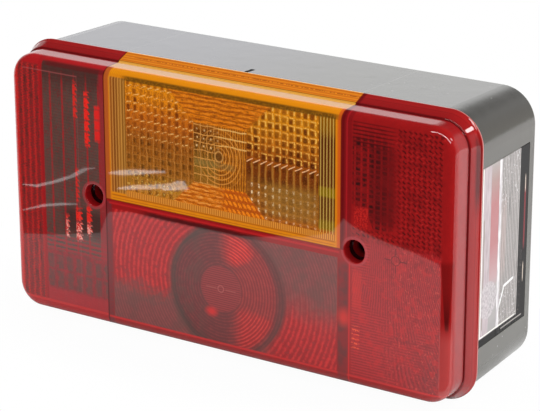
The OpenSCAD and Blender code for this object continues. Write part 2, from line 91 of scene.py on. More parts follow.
class Wire:
    # one value in a node tree: sums and products add Math nodes, a | b is the larger of two masks
    def __init__(self, paint, socket):
        self.paint = paint
        self.socket = socket

    def math(self, operation, *others):
        return self.paint.node("ShaderNodeMath", {"operation": operation}, [self, *others])

    def __add__(self, other): return self.math("ADD", other)
    def __radd__(self, other): return self.math("ADD", other)
    def __mul__(self, other): return self.math("MULTIPLY", other)
    def __rmul__(self, other): return self.math("MULTIPLY", other)
    def __sub__(self, other): return self.math("SUBTRACT", other)
    def __rsub__(self, other): return self.paint.node("ShaderNodeMath", {"operation": "SUBTRACT"}, [other, self])
    def __truediv__(self, other): return self.math("DIVIDE", other)
    def __or__(self, other): return self.math("MAXIMUM", other)
    def __abs__(self): return self.math("ABSOLUTE")


def tone(red, green, blue):
    # screen colour, 0 to 255, as linear light
    rgb = np.array([red, green, blue], float) / 255
    linear = np.where(rgb <= 0.04045, rgb / 12.92, ((rgb + 0.055) / 1.055) ** 2.4)
    return (*linear.tolist(), 1.0)


def paler(colour, by):
    # the same screen colour with a little more of each part
    return tuple(min(255, c + by) for c in colour)


class Paint:
    # a material, or the world, and the calls that add nodes to it; colours are (red, green, blue), 0 to 255
    def __init__(self, name, home=None):
        self.material = home or bpy.data.materials.new(name)
        self.material.use_nodes = True
        self.tree = self.material.node_tree
        self.shader = self.tree.nodes.get("Principled BSDF")

    def node(self, kind, settings=None, inputs=None, output=0):
        made = self.tree.nodes.new(kind)
        for key, value in (settings or {}).items():
            if key == "stops":
                ramp = made.color_ramp
                while len(ramp.elements) < len(value):
                    ramp.elements.new(0.5)
                for element, (place, colour) in zip(ramp.elements, value):
                    element.position = place
                    element.color = colour if len(colour) == 4 else tone(*colour)
            else:
                setattr(made, key, value)
        pairs = inputs.items() if isinstance(inputs, dict) else enumerate(inputs or [])
        for key, value in pairs:
            self.plug(made.inputs[key], value)
        return Wire(self, made.outputs[output])

    def plug(self, socket, value):
        if isinstance(value, Wire):
            self.tree.links.new(value.socket, socket)
        else:
            screen = socket.type == "RGBA" and len(value) == 3
            socket.default_value = tone(*value) if screen else value

    def split(self, vector):
        outputs = self.node("ShaderNodeSeparateXYZ", inputs=[vector]).socket.node.outputs
        return [Wire(self, output) for output in outputs]

    def place(self):
        # Object coordinates in millimetres
        where = self.node("ShaderNodeTexCoord", output="Object")
        self.point = self.node("ShaderNodeVectorMath", {"operation": "SCALE"}, {0: where, "Scale": 1000.0})
        return self.split(self.point)

    def step(self, value, low, high, out0=0.0, out1=1.0):
        # smooth step from out0 at low to out1 at high
        if high < low:
            low, high, out0, out1 = high, low, out1, out0
        return self.node("ShaderNodeMapRange", {"interpolation_type": "SMOOTHSTEP"}, [value, low, high, out0, out1])

    def band(self, value, low, high, soft=0.25):
        # 1 between low and high
        rise = self.step(value, low - soft, low + soft)
        fall = self.step(value, high - soft, high + soft, 1.0, 0.0)
        return rise * fall

    def patch(self, u, v, box, soft):
        # 1 inside the box (low u, high u, low v, high v)
        return self.band(u, *box[:2], soft[0]) * self.band(v, *box[2:], soft[1])

    def wave(self, value, pitch, phase=0.0):
        # 0 to 1 and back in each pitch, 1 at phase
        return ((value - phase) * (2 * math.pi / pitch)).math("COSINE") * 0.5 + 0.5

    def fraction(self, value, pitch, start=0.0):
        # place inside a cell, 0 to 1
        return ((value - start) / pitch).math("FRACT")

    def reach(self, u, w):
        # distance from the place where both are 0
        return (u * u + w * w).math("SQRT")

    def noise(self, scale, detail=2.0, rough=0.5, stretch=(1, 1, 1)):
        # noise with about 1/scale mm between its blobs
        point = self.node("ShaderNodeVectorMath", {"operation": "MULTIPLY"}, [self.point, stretch])
        return self.node("ShaderNodeTexNoise", {"noise_dimensions": "3D"},
                         {"Vector": point, "Scale": scale, "Detail": detail, "Roughness": rough})

    def cellRandom(self, value, pitch, start, other, otherPitch, otherStart):
        # one random value, 0 to 1, for each cell of a grid
        column = ((value - start) / pitch).math("FLOOR")
        row = ((other - otherStart) / otherPitch).math("FLOOR")
        place = self.node("ShaderNodeCombineXYZ", inputs=[column, row])
        return self.node("ShaderNodeTexWhiteNoise", {"noise_dimensions": "2D"}, {"Vector": place})

    def mix(self, first, second, share):
        # colours blended by share
        made = self.tree.nodes.new("ShaderNodeMix")
        made.data_type = "RGBA"
        self.plug(made.inputs[0], share)
        self.plug(made.inputs[6], first)
        self.plug(made.inputs[7], second)
        return Wire(self, made.outputs[2])

    def layers(self, base, *coats):
        # each coat is (colour, share), laid over the ones before
        for colour, share in coats:
            base = self.mix(base, colour, share)
        return base

    def ramp(self, value, *stops):
        # colours, or plain numbers, blended along the value; stops are (place, colour)
        stops = [(at, c if isinstance(c, tuple) else (c, c, c, 1)) for at, c in stops]
        low, high = stops[0][0], stops[-1][0]
        share = self.node("ShaderNodeMapRange", None, [value, low, high, 0.0, 1.0])
        return self.node("ShaderNodeValToRGB", {"stops": [((at - low) / (high - low), c) for at, c in stops]}, [share])

    def bump(self, height, distance=0.0003, strength=1.0):
        return self.node("ShaderNodeBump", inputs={"Height": height, "Distance": distance, "Strength": strength})

    def finish(self, **sockets):
        for name, value in sockets.items():
            self.plug(self.shader.inputs[socketNames[name]], value)
        return self.material


socketNames = {"colour": "Base Color", "rough": "Roughness", "metal": "Metallic", "coat": "Coat Weight",
               "coatRough": "Coat Roughness", "coatIor": "Coat IOR", "specular": "Specular IOR Level",
               "alpha": "Alpha", "normal": "Normal"}


# camera

camera = {
    "spot": (0.56017, -0.88219, 0.34436),
    "right": (0.83611849, 0.54854441, -0.00221446),
    "down": (0.17511389, -0.27073861, -0.94659164),
    "ahead": (-0.51984709, 0.79107499, -0.3224273),
    "lens": 155.04,
}
cameraData = bpy.data.cameras.new("camera")
cameraData.sensor_width = 36
cameraData.lens = camera["lens"]
cameraData.clip_start = 0.01
cameraData.clip_end = 50
cameraObject = bpy.data.objects.new("camera", cameraData)
scene.collection.objects.link(cameraObject)
turn = Matrix((camera["right"], [-v for v in camera["down"]], [-v for v in camera["ahead"]])).transposed()
cameraObject.matrix_world = Matrix.Translation(camera["spot"]) @ turn.to_4x4()
scene.camera = cameraObject
print("camera set")


# lens cap: one surface over the rim, the front plate and the screw wells

lensSize = {
    "halfWidth": 120.0,
    "halfHeight": 64.0,
    "corner": 13.4,
    "cornerSteps": 14,
    "gridStep": 1.6,
    "amberHalf": 63.6,
    "seamZ": 0.5,
    "front": -71.0,
    "plate": -68.5,
    "noseRadius": 4.7,
    "noseInset": 1.3,
    "noseSteps": 11,
    # (offset from the outline, y), from the skirt's edge to the nose
    "skirtOuter": [(2.4, -52.0), (2.4, -52.65), (2.32, -52.84), (2.14, -52.96), (1.6, -54.3), (0.9, -56.05),
                   (0.2, -57.8), (-0.18, -58.72), (-0.4, -58.95), (-0.7, -59.02), (-0.9, -59.1), (-1.0, -59.35),
                   (-1.06, -60.8), (-1.14, -62.6), (-1.22, -64.5)],
    "skirtInner": [(-0.4, -52.0), (-0.4, -52.6), (-0.4, -53.0), (-0.42, -53.18), (-1.4, -53.2), (-2.4, -53.2),
                   (-3.0, -53.25), (-3.0, -54.5), (-3.0, -56.0), (-3.0, -57.5), (-3.0, -58.5), (-3.0, -59.5),
                   (-3.0, -61.0), (-3.0, -62.6), (-3.0, -64.5)],
    "plateInset": 6.12,
    "wellX": 70.7,
    "wellZ": 0.7,
    "wellPatch": 6.6,
    # (outer radius, its y, inner radius, its y), from the lip down the tube to the screw hole
    "well": [(5.78, -71.0, 7.4, -68.5), (5.7, -71.0, 7.3, -68.5), (5.45, -70.933, 7.0, -68.38),
             (5.267, -70.75, 7.0, -68.26), (5.2, -70.5, 7.0, -68.14), (5.2, -68.5, 7.0, -67.3),
             (5.2, -65.5, 7.0, -64.3), (5.08, -65.28, 7.0, -64.0), (4.8, -65.2, 7.0, -63.8),
             (4.55, -65.2, 7.0, -63.6), (4.3, -64.95, 7.0, -63.2), (4.3, -60.0, 7.0, -58.2),
             (4.3, -54.0, 7.0, -52.2), (4.3, -50.3, 7.0, -48.3), (4.1, -50.0, 6.7, -48.0), (3.6, -50.0, 3.9, -48.0),
             (2.3, -50.0, 2.3, -48.0)],
}


def rimProfile(s):
    # rows of (outer offset, outer y, inner offset, inner y): the skirt, a quarter turn of the nose,
    # then the front plate in to the corner centres
    turn = np.radians(9.0 * np.arange(s["noseSteps"]))
    inset, radius = s["noseInset"], s["noseRadius"]
    noseOuter = np.stack([-inset - radius * (1 - np.cos(turn)), s["front"] + radius * (1 - np.sin(turn))], 1)
    down = np.stack([np.full(6, -3.0), np.linspace(-65.5, -68.0, 6)], 1)
    level = np.stack([np.linspace(-3.6, -6.0, 5), np.full(5, s["plate"])], 1)
    ends = np.array([-s["plateInset"], -s["corner"]])
    outer = np.concatenate([s["skirtOuter"], noseOuter, np.stack([ends, np.full(2, s["front"])], 1)])
    inner = np.concatenate([s["skirtInner"], down, level, np.stack([ends, np.full(2, s["plate"])], 1)])
    return np.concatenate([outer, inner], 1)


def sideMarks(s):
    # grid lines along x and z; they pass through the seams and the corners of the well patches
    reach = s["wellPatch"]
    endX, endZ = s["halfWidth"] - s["corner"], s["halfHeight"] - s["corner"]
    xs = [v for side in (-1, 1) for v in (side * endX, side * s["wellX"] - reach, side * s["wellX"] + reach,
                                          side * s["amberHalf"])]
    zs = [-endZ, s["wellZ"] - reach, s["seamZ"], s["wellZ"] + reach, endZ]
    return [np.unique(np.round(np.concatenate(
        [np.linspace(a, b, max(2, math.ceil((b - a) / s["gridStep"]) + 1)) for a, b in zip(m, m[1:])]), 6))
        for m in (sorted(xs), sorted(zs))]


def outline(s, xs, zs):
    # the rounded rectangle once round, counter-clockwise from the front, as (x, z, direction x, direction z):
    # at a corner the direction makes a quarter turn, along a side the place moves over the grid lines
    parts = []
    turn = np.radians(np.linspace(0, 90, s["cornerSteps"] + 1))
    for quarter, line in enumerate((xs[::-1], zs[::-1], xs, zs)):
        angle = turn + quarter * math.pi / 2
        cx, cz = (xs if quarter in (0, 3) else -xs)[-1], (zs if quarter < 2 else -zs)[-1]
        parts.append(np.stack([np.full(len(angle), cx), np.full(len(angle), cz), np.cos(angle), np.sin(angle)], 1))
        along = line[1:-1]
        across = np.full(len(along), cz if quarter % 2 == 0 else cx)
        spot = (along, across) if quarter % 2 == 0 else (across, along)
        ahead = [np.full(len(along), f(angle[-1]).round(9)) for f in (np.cos, np.sin)]
        parts.append(np.stack([*spot, *ahead], 1))
    return np.concatenate(parts)


def sweep(rows, line, offset=0.0):
    # each row (outer reach, y, inner reach, y) carried round the line: place + direction * reach
    x, z, dx, dz = line.T
    ro, yo, ri, yi = (c[:, None] for c in np.asarray(rows).T)
    level = np.zeros(len(line))
    return [np.stack([x + dx * (r + offset), y + level, z + dz * (r + offset)], -1) for r, y in ((ro, yo), (ri, yi))]


def buildLens(s):
    # outer and inner place of every point, the quads over them and the zone of each quad:
    # the rim swept round the outline, the plate as a grid, and the wells swept round their square patches
    xs, zs = sideMarks(s)
    sheets = [sweep(rimProfile(s), outline(s, xs, zs), s["corner"])]
    gridX, gridZ = np.meshgrid(xs, zs, indexing="ij")
    sheets.append([np.stack([gridX, np.full(gridX.shape, y), gridZ], -1) for y in (s["front"], s["plate"])])
    reach = s["wellPatch"]
    middleX, middleZ = ((v[:-1] + v[1:]) / 2 for v in (xs, zs))
    free = np.ones((len(middleX), len(middleZ)), bool)
    for side in (-1, 1):
        wx, wz = side * s["wellX"], s["wellZ"]
        free &= ~np.outer(abs(middleX - wx) < reach, abs(middleZ - wz) < reach)
        inX, inZ = (v[abs(v - at) < reach + 0.001] for v, at in ((xs, wx), (zs, wz)))
        square = np.concatenate([
            np.stack(np.broadcast_arrays(*pair), 1) for pair in (
                (wx + reach, inZ[:-1]), (inX[:0:-1], wz + reach), (wx - reach, inZ[:0:-1]), (inX[:-1], wz - reach))])
        away = square - (wx, wz)
        ways = away / np.linalg.norm(away, axis=1, keepdims=True)
        tube = sweep(s["well"], np.column_stack([np.full(len(ways), wx), np.full(len(ways), wz), ways]))
        edge = [np.stack([square[:, 0], np.full(len(square), y), square[:, 1]], -1)[None]
                for y in (s["front"], s["plate"])]
        sheets.append([np.concatenate([e, t]) for e, t in zip(edge, tube)])
    # points that lie in the same place become one, in the order of their first use
    outer, inner = (np.concatenate([sheet[i].reshape(-1, 3) for sheet in sheets]) for i in (0, 1))
    _, first, same = np.unique(np.round(outer, 3), axis=0, return_index=True, return_inverse=True)
    index = np.argsort(np.argsort(first))[same.reshape(-1)]
    outer, inner = outer[np.sort(first)], inner[np.sort(first)]
    ends = np.cumsum([sheet[0].shape[0] * sheet[0].shape[1] for sheet in sheets])[:-1]
    rim, plate, *wells = [part.reshape(sheet[0].shape[:2]) for part, sheet in zip(np.split(index, ends), sheets)]
    cells = np.stack([plate[:-1, :-1], plate[1:, :-1], plate[1:, 1:], plate[:-1, 1:]], -1)[free]
    quads = np.concatenate([loopFaces(rim), cells] + [loopFaces(well) for well in wells])
    x, _, z = outer[quads].mean(axis=1).T
    amber = (abs(x) < s["amberHalf"]) & (z > s["seamZ"])
    return outer, inner, quads, np.where(x < -s["amberHalf"], 0, np.where(amber, 1, 2))


def lensPieces(s, materials):
    # one closed piece for each moulding, in the order of the zones; each stands for its node
    outer, inner, quads, zones = buildLens(s)
    for zone, (name, material) in enumerate(materials.items()):
        points, faces = thickSheet(outer, inner, quads[zones == zone])
        piece = meshObject(name + "_cap", points, faceList(faces), material, sharp=40)
        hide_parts(name)
        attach(piece, "root")
        print("lens piece", name, len(points), "points", len(faces), "faces")


# lens colours: the optics are seen through a smooth clear skin

skin = {
    "specular": 0.06,
    "coatRough": 0.03,
    "bumpDepth": 0.0003,
    "roughDrift": 0.08,
}


def clearSkin(p, look, colour, height, strength, blob):
    # the optics as a bump under a smooth, thin coat
    return p.finish(colour=colour, rough=blob * skin["roughDrift"] + look["rough"],
                    normal=p.bump(height, skin["bumpDepth"], strength), specular=skin["specular"], coat=1.0,
                    coatRough=skin["coatRough"], coatIor=look["skinIor"])


amberLook = {
    "centre": (0, 31.5),
    "field": (-51.4, 52.3, 6.4, 59.3),
    "square": (-13.8, 14.8, 17.4, 45.6),
    "strip": (-52, 61, 3.6, 6.4),
    "leftFlutes": (-60.4, -51.4),
    "rightFlutes": (52.3, 60.8),
    "fluteHeights": (4.6, 59.6),
    "cellLeft": (3.85, -51.2, 3.9, 5.6),
    "cellRight": (3.67, 14.5, 3.7, 0.5),
    "cellSquare": (3.8, -13.6, 3.85, 17.9),
    "swim": 1.5,
    "rowPitch": 2.1,
    "flutePitch": 1.6,
    "stripPitch": 1,
    "rough": 0.28,
    "skinIor": 1.5,
    "border": ((242, 150, 10), (228, 128, 14)),
    # colours along x, or up z, as (place, colour)
    "leftFluteRamp": ((-60.5, (196, 108, 34)), (-57.5, (150, 78, 20)), (-54.5, (196, 126, 44)), (-51, (132, 82, 18))),
    "rightFluteRamp": ((0, (228, 128, 26)), (7, (210, 106, 24)), (8.5, (158, 122, 16)), (11.5, (148, 112, 16)),
                       (13, (124, 70, 14)), (22.5, (116, 62, 12)), (23.4, (156, 126, 4)), (26.8, (156, 122, 6)),
                       (28, (116, 56, 8)), (49, (112, 50, 8)), (53, (158, 98, 8)), (60, (176, 108, 8))),
    "leftLight": ((4, (220, 126, 24)), (9, (206, 136, 34)), (14, (184, 122, 30)), (18, (172, 102, 26)),
                  (30, (168, 92, 18)), (38, (196, 102, 18)), (45, (218, 114, 16)), (52, (244, 142, 12)),
                  (59, (246, 150, 14))),
    "leftDark": ((4, (130, 66, 8)), (14, (104, 62, 10)), (22, (104, 58, 8)), (32, (104, 52, 6)),
                 (42, (148, 66, 8)), (50, (122, 52, 4)), (59, (164, 80, 4))),
    "rightLight": ((4, (214, 116, 26)), (9, (190, 108, 32)), (17, (180, 110, 36)), (23, (160, 92, 26)),
                   (28, (156, 74, 12)), (36, (184, 92, 12)), (44, (226, 130, 18)), (54, (244, 154, 20)),
                   (59, (246, 150, 16))),
    "rightDark": ((4, (144, 62, 8)), (12, (132, 64, 14)), (22, (124, 68, 14)), (28, (98, 40, 4)), (36, (90, 34, 2)),
                  (46, (102, 46, 3)), (59, (146, 74, 6))),
    "squareRamp": ((17, (156, 98, 24)), (27, (128, 96, 30)), (33, (112, 66, 14)), (42, (112, 54, 8)),
                   (46, (176, 96, 16))),
}


def amberPaint(look):
    # pillows at both sides, wavy rows above and below, a square with rings in the middle, flutes at the ends
    p = Paint("amberLens")
    x, y, z = p.place()
    cx, cz = look["centre"]
    blob = p.noise(0.35, 3, 0.6)
    fleck = p.noise(1.3, 2, 0.6)
    thread = p.noise(1.1, 3, 0.65, (0.22, 1, 1.4))
    xs = x + (p.noise(0.2, 2, 0.5, (1, 1, 0.8)) - 0.5) * look["swim"]
    zs = z + (p.noise(0.21, 2, 0.5, (0.8, 3, 1)) - 0.5) * look["swim"]
    u, w = x - cx, z - cz
    au, aw = abs(u), abs(w)
    # plain border with fine ticks along the top
    colour = p.mix(*look["border"], blob)
    colour = p.layers(
        colour,
        ((250, 158, 4), p.step(z, 60, 61.5) * 0.7),
        ((198, 100, 6), p.wave(x, look["stripPitch"]) * p.step(z, 59.5, 61) * 0.4),
        ((192, 92, 34), p.step(x, -60.2, -61.6)),
        ((216, 82, 22), p.step(x, 61, 62.6) * 0.85))
    # painted shade: a dark line along the top of the field, at the inner corner seen through the skin
    innerCornerShade = p.band(z, 58.8, 60.8, 0.4) * p.band(x, -52.5, 61.5, 3)
    # side flutes
    flute = p.wave(x + (thread - 0.5) * 0.4, look["flutePitch"], 0.5)
    fluteZ = p.band(z, *look["fluteHeights"], 0.5)
    leftFlutes, rightFlutes = [p.band(x, *look[side], 0.3) * fluteZ for side in ("leftFlutes", "rightFlutes")]
    leftBase = p.ramp(x, *look["leftFluteRamp"])
    leftColour = p.mix(p.mix(leftBase, (98, 50, 8), 0.35), p.mix(leftBase, (226, 160, 74), 0.5),
                       p.step(flute, 0.3, 0.9))
    colour = p.mix(colour, leftColour, leftFlutes)
    rightBase = p.ramp(z, *look["rightFluteRamp"])
    rightColour = p.mix(p.mix(rightBase, (58, 24, 2), 0.3), p.mix(rightBase, (236, 196, 96), 0.6),
                        p.step(flute, 0.55, 0.95))
    colour = p.mix(colour, rightColour, rightFlutes)
    # pillows left of the centre
    field = p.patch(x, z, look["field"], (0.25, 0.4))
    beside = p.step(au - aw + (fleck - 0.5) * 1.5, -0.9, 0.9)
    left = p.step(x, 0.5, -0.5)
    pu, px, pz, pz0 = look["cellLeft"]
    fu, fz = p.fraction(xs, pu, px), p.fraction(zs, pz, pz0)
    lightL, darkL = p.ramp(z, *look["leftLight"]), p.ramp(z, *look["leftDark"])
    luckL = p.cellRandom(xs, pu, px, zs, pz, pz0)
    hollow = p.band(fu, 0.1, 0.55, 0.14) * p.band(fz, 0.3, 0.95, 0.14)
    hollow = hollow * (luckL * 0.7 + 0.45)
    hollow = hollow | p.step(fleck, 0.52, 0.3) * 0.75
    colourL = p.mix(lightL, darkL, hollow * p.step(p.noise(0.5, 2, 0.5), 0.2, 0.55, 0.45, 1))
    # painted highlights: a bright rising dash on each pillow in the upper rows
    slope = fz - fu * 0.33
    dash = p.band(slope, -0.01, 0.12, 0.05) * p.band(fu, 0.12, 0.92, 0.12) * p.step(z, 30.5, 34)
    colourL = p.mix(colourL, (255, 206, 122), dash * p.step(fleck, 0.38, 0.56) * (luckL * 0.6 + 0.5))
    upright = p.band(fu, 0.88, 1.02, 0.05) | p.band(fu, 0.4, 0.48, 0.05) * 0.5
    colourL = p.mix(colourL, (210, 138, 58), upright * p.step(z, 42, 30, 0, 0.8)
                    * p.step(fleck, 0.3, 0.5, 0.25, 1))
    level = p.band(fz, 0.86, 1, 0.05) * p.step(z, 32, 29)
    colourL = p.mix(colourL, (196, 124, 46), level * p.step(blob, 0.35, 0.55) * 0.6)
    # painted highlights: yellow sparks low on the left
    sparkHighlight = p.step(p.noise(0.9, 2, 0.6, (1, 1, 0.7)), 0.55, 0.68) * p.band(z, 6.5, 17, 2) * p.step(x, -22, -27)
    colourL = p.mix(colourL, (246, 204, 104), sparkHighlight * 0.7)
    # pillows right of the centre
    pu, px, pz, pz0 = look["cellRight"]
    gu, gz = p.fraction(xs, pu, px), p.fraction(zs, pz, pz0)
    lightR, darkR = p.ramp(z, *look["rightLight"]), p.ramp(z, *look["rightDark"])
    luckR = p.cellRandom(xs, pu, px, zs, pz, pz0)
    hollowR = p.band(gu, 0.12, 0.72, 0.16) * p.band(gz, 0.1, 0.82, 0.16)
    bars = p.band(gu, 0.1, 0.66, 0.12) * p.band(z, 23, 32, 0.6)
    blot = p.step(fleck, 0.5, 0.3) * 0.7
    colourR = p.mix(lightR, darkR, (hollowR | bars | blot)
                    * p.step(fleck, 0.2, 0.5, 0.6, 1) * (luckR * 0.5 + 0.6))
    # painted highlights: a bright hook on the top and right of each pillow, in the upper rows
    hookHighlight = p.patch(gu, gz, (0.8, 0.99, 0.3, 1), (0.06, 0.12)) | p.patch(gu, gz, (0.2, 0.98, 0.86, 1), (0.1, 0.05)) * 0.8
    colourR = p.mix(colourR, (255, 200, 92), hookHighlight * p.step(z, 33.8, 35) * p.step(fleck, 0.34, 0.56)
                    * (luckR * 0.6 + 0.6))
    # painted highlights: a row of pale zigzag strokes
    sawHighlight = p.band((z - 31.9) / 2.1 - gu, -0.13, 0.13, 0.08) * p.band(z, 31.8, 34.2, 0.2)
    colourR = p.mix(colourR, (255, 196, 138), sawHighlight * p.step(fleck, 0.2, 0.45))
    barEdge = p.band(gu, 0.72, 0.98, 0.1) * p.band(z, 23, 32, 0.8)
    colourR = p.mix(colourR, (194, 136, 52), barEdge * 0.6)
    # painted highlights: short bright ticks on the right of each low pillow
    tick = p.band(gu, 0.7, 0.94, 0.08) * p.band(gz, 0.5, 1, 0.12) * p.band(z, 7, 23.4, 0.6)
    colourR = p.layers(
        colourR,
        ((255, 226, 176), tick * p.step(fleck, 0.36, 0.58) * p.step(x, 50, 26, 0.45, 1)),
        # painted reflection: a pale olive haze over the low right pillows
        ((168, 128, 54), p.band(x, 24, 52, 6) * p.band(z, 9, 24, 2) * 0.4))
    sides = p.mix(colourR, colourL, left)
    # wavy rows above and below the centre square
    sway = p.noise(0.14, 2, 0.5, (0.8, 1, 1.6))
    row = p.wave(z + (sway - 0.5) * 2.2 + (fleck - 0.5) * 0.5, look["rowPitch"])
    above = p.mix((166, 78, 8), (240, 132, 14), p.step(row * 0.55 + thread * 1.1, 0.4, 1.05))
    below = p.mix((176, 78, 10), (240, 130, 20), p.step(row * 0.35 + thread * 1.2, 0.45, 0.95))
    below = p.mix(below, (250, 178, 84), p.step(thread + row * 0.2, 0.62, 0.76) * 0.7)
    above = p.layers(
        above,
        ((252, 168, 60), p.step(thread + row * 0.15, 0.68, 0.8) * 0.45),
        ((128, 58, 4), p.step(thread - row * 0.1, 0.4, 0.28) * 0.6))
    chop = p.wave(x + z * 0.6 + (fleck - 0.5) * 1.4, 2.5) * p.wave(z + (fleck - 0.5) * 0.8, 3.4, 0.6)
    block = p.mix((200, 88, 10), (255, 142, 20), p.step(chop + (fleck - 0.5) * 0.9, 0.1, 0.5))
    below = p.mix(below, block, p.step(x, -2, 5))
    rows = p.mix(below, above, p.step(z, 28, 36))
    inner = p.mix(rows, sides, beside)
    # centre square: cells with a point of light on the left, fine ribs on the right, rings and a small eye
    square = p.patch(x, z, look["square"], (0.25, 0.3))
    pu, px, pz, pz0 = look["cellSquare"]
    hu, hz = p.fraction(xs, pu, px), p.fraction(zs, pz, pz0)
    wire = p.band(hu, 0.91, 1.01, 0.04) | p.band(hz, 0.88, 1, 0.04)
    squareL = p.ramp(z, *look["squareRamp"])
    squareL = p.layers(
        squareL,
        ((196, 120, 34), p.step(fleck, 0.48, 0.7) * 0.6),
        ((228, 158, 76), wire * p.step(fleck, 0.22, 0.5, 0.45, 1)))
    # painted highlight: a point of light in each upper cell
    point = p.band(hu, 0.36, 0.58, 0.08) * p.band(hz, 0.36, 0.58, 0.08) * p.band(z, 33, 43, 1)
    squareL = p.mix(squareL, (250, 206, 136), point * p.step(fleck, 0.3, 0.5, 0.5, 1))
    rib = p.wave(xs, pu / 3)
    squareR = p.mix((148, 74, 10), (224, 136, 30), p.step(rib * 0.8 + (fleck - 0.5) * 0.8, 0.2, 0.8))
    # dark bands in the cells, and a painted highlight along the cell lines high up
    squareR = p.layers(
        squareR,
        ((110, 52, 6), p.band(hz, 0.15, 0.75, 0.15) * p.step(x, 2, 13, 0.75, 0.3) * p.step(z, 44, 40) * 0.7),
        ((250, 196, 110), p.band(hz, 0.84, 1, 0.06) * p.step(z, 35, 37) * 0.9))
    centreColour = p.mix(squareL, squareR, p.step(x, -2.6, 1))
    radius = (u * u + w * w * 0.8).math("SQRT")
    ringLine = p.wave(radius, 1.9)
    centreColour = p.layers(
        centreColour,
        ((240, 156, 62), p.step(ringLine, 0.6, 1) * p.step(radius, 15, 11) * p.step(u - w * 0.6, -6, 4, 0.35, 0.75)),
        ((214, 164, 92), p.band(radius, 2, 2.4, 0.25) * 0.7),
        ((104, 64, 22), p.step(radius, 2.1, 1.5) * 0.8))
    # painted reflection: a pale greenish streak across the square
    reflectionStreak = p.band(w, -5.6, -2.6, 0.8) * p.band(x, -13.5, 8, 2)
    centreColour = p.mix(centreColour, (156, 126, 66), reflectionStreak * 0.4)
    inner = p.mix(inner, centreColour, square)
    fine = p.noise(2.4, 2, 0.6, (1, 1, 1.3))
    inner = p.layers(
        inner,
        ((84, 36, 2), p.step(fine, 0.5, 0.32) * 0.38),
        ((255, 186, 84), p.step(fine, 0.6, 0.72) * 0.3))
    colour = p.mix(colour, inner, field)
    # fine ribs under the field, lines at the lower edge, then the painted shade line along the top of the field
    strip = p.patch(x, z, look["strip"], (0.5, 0.25))
    stripColour = p.mix((186, 98, 18), (240, 162, 62), p.wave(x, look["stripPitch"]))
    colour = p.mix(colour, stripColour, strip)
    lowLine = (p.band(z, 2.9, 3.5, 0.25) | p.band(z, 1.5, 1.9, 0.2) * 0.7) * p.band(x, -60, 61, 1)
    colour = p.layers(
        colour,
        ((170, 84, 16), lowLine * 0.7),
        (p.mix((96, 62, 10), (150, 96, 14), p.step(fleck, 0.4, 0.7)), innerCornerShade * 0.9))
    # walls of the rim: fine lines along the skirt, a painted highlight along its back edge, then a painted shadow line
    # and a painted highlight where it meets the nose
    side = p.step(y, -66.4, -64.8)
    colour = p.mix(colour, p.mix((210, 148, 56), (198, 130, 44), blob), side)
    skirt = p.step(y, -59.4, -58.6)
    dashes = p.step(p.noise(1.3, 1, 0.5, (1, 0.2, 0.2)), 0.42, 0.55)
    skirtColour = p.mix((214, 112, 22), (232, 138, 26), p.step(p.wave(y + (thread - 0.5) * 0.3, 1.5), 0.3, 0.7))
    # painted highlight along the skirt's back edge, over a dark dotted line
    skirtColour = p.layers(
        skirtColour,
        ((134, 58, 8), p.band(y, -55.6, -55.1, 0.15) * dashes * p.step(x, -62, -50) * 0.8),
        ((255, 208, 130), p.band(y, -52.6, -51.9, 0.12) * 0.7))
    # a painted shadow line, then a painted highlight, where the skirt meets the nose
    colour = p.layers(
        colour,
        (skirtColour, skirt),
        ((150, 78, 12), p.band(y, -58.9, -58.5, 0.12) * 0.7),
        ((255, 190, 80), p.band(y, -59.9, -58.9, 0.1)))
    # seams to the red
    seam = p.step(abs(x), 63.15, 63.5) | p.step(z, 0.95, 0.6)
    colour = p.mix(colour, (132, 44, 12), seam * 0.85)
    height = ((1 - hollow) * left + (1 - hollowR) * (1 - left)) * beside * (1 - square) + row * 0.4 * (1 - beside)
    height = height * field + flute * 0.5 * (leftFlutes + rightFlutes) + rib * 0.3 * square
    return clearSkin(p, look, colour, height, 0.45, blob)


def rimRed(p, colour, x, y, z, blob):
    # walls of the rim and the stepped inside of the screw wells, the same on both red pieces, with painted highlights
    # and painted shade
    side = p.step(y, -66.6, -65)
    wall = p.mix((164, 28, 30), (140, 20, 24), blob)
    colour = p.mix(colour, wall, side)
    skirt = p.step(y, -59.4, -58.6)
    skirtColour = p.mix((152, 22, 24), (166, 28, 28), p.step(y, -57.5, -53.5))
    skirtColour = p.mix(skirtColour, (120, 14, 18), p.band(y, -55.4, -55, 0.15) * 0.5)
    # painted shade on the skirt: a dark patch high at the right corner, and darker towards the bottom
    shade = p.step(x, 119.6, 120.6) * p.band(z, 26, 56, 8) * p.band(y, -56, -53.2, 1)
    skirtColour = p.layers(
        skirtColour,
        ((58, 5, 9), shade * 0.75),
        ((70, 6, 12), p.step(z, -60, -64) * 0.4))
    # a painted highlight along the skirt's back edge and a painted shadow line where the skirt meets the nose
    colour = p.layers(
        colour,
        (skirtColour, skirt),
        ((214, 150, 144), p.band(y, -52.6, -51.9, 0.1) * 0.6),
        ((104, 12, 16), p.band(y, -59.3, -58.6, 0.12) * 0.7))
    reach = p.reach(abs(x) - lensSize["wellX"], z - lensSize["wellZ"])
    well = p.step(reach, 5.9, 5.3)
    # painted shade in the screw wells: dark below the step and down the deep part of the tube
    lines = p.band(y, -66.6, -64.7, 0.3) | p.step(y, -62.5, -59)
    tube = p.mix((176, 26, 30), (40, 5, 9), lines)
    colour = p.mix(colour, tube, well)
    # painted highlight: a pale ring on the rounded lip round each well
    ring = p.band(reach, 5.6, 6.8, 0.3) * p.step(y, -70.4, -70.8)
    colour = p.mix(colour, (196, 66, 74), ring * 0.45)
    return colour


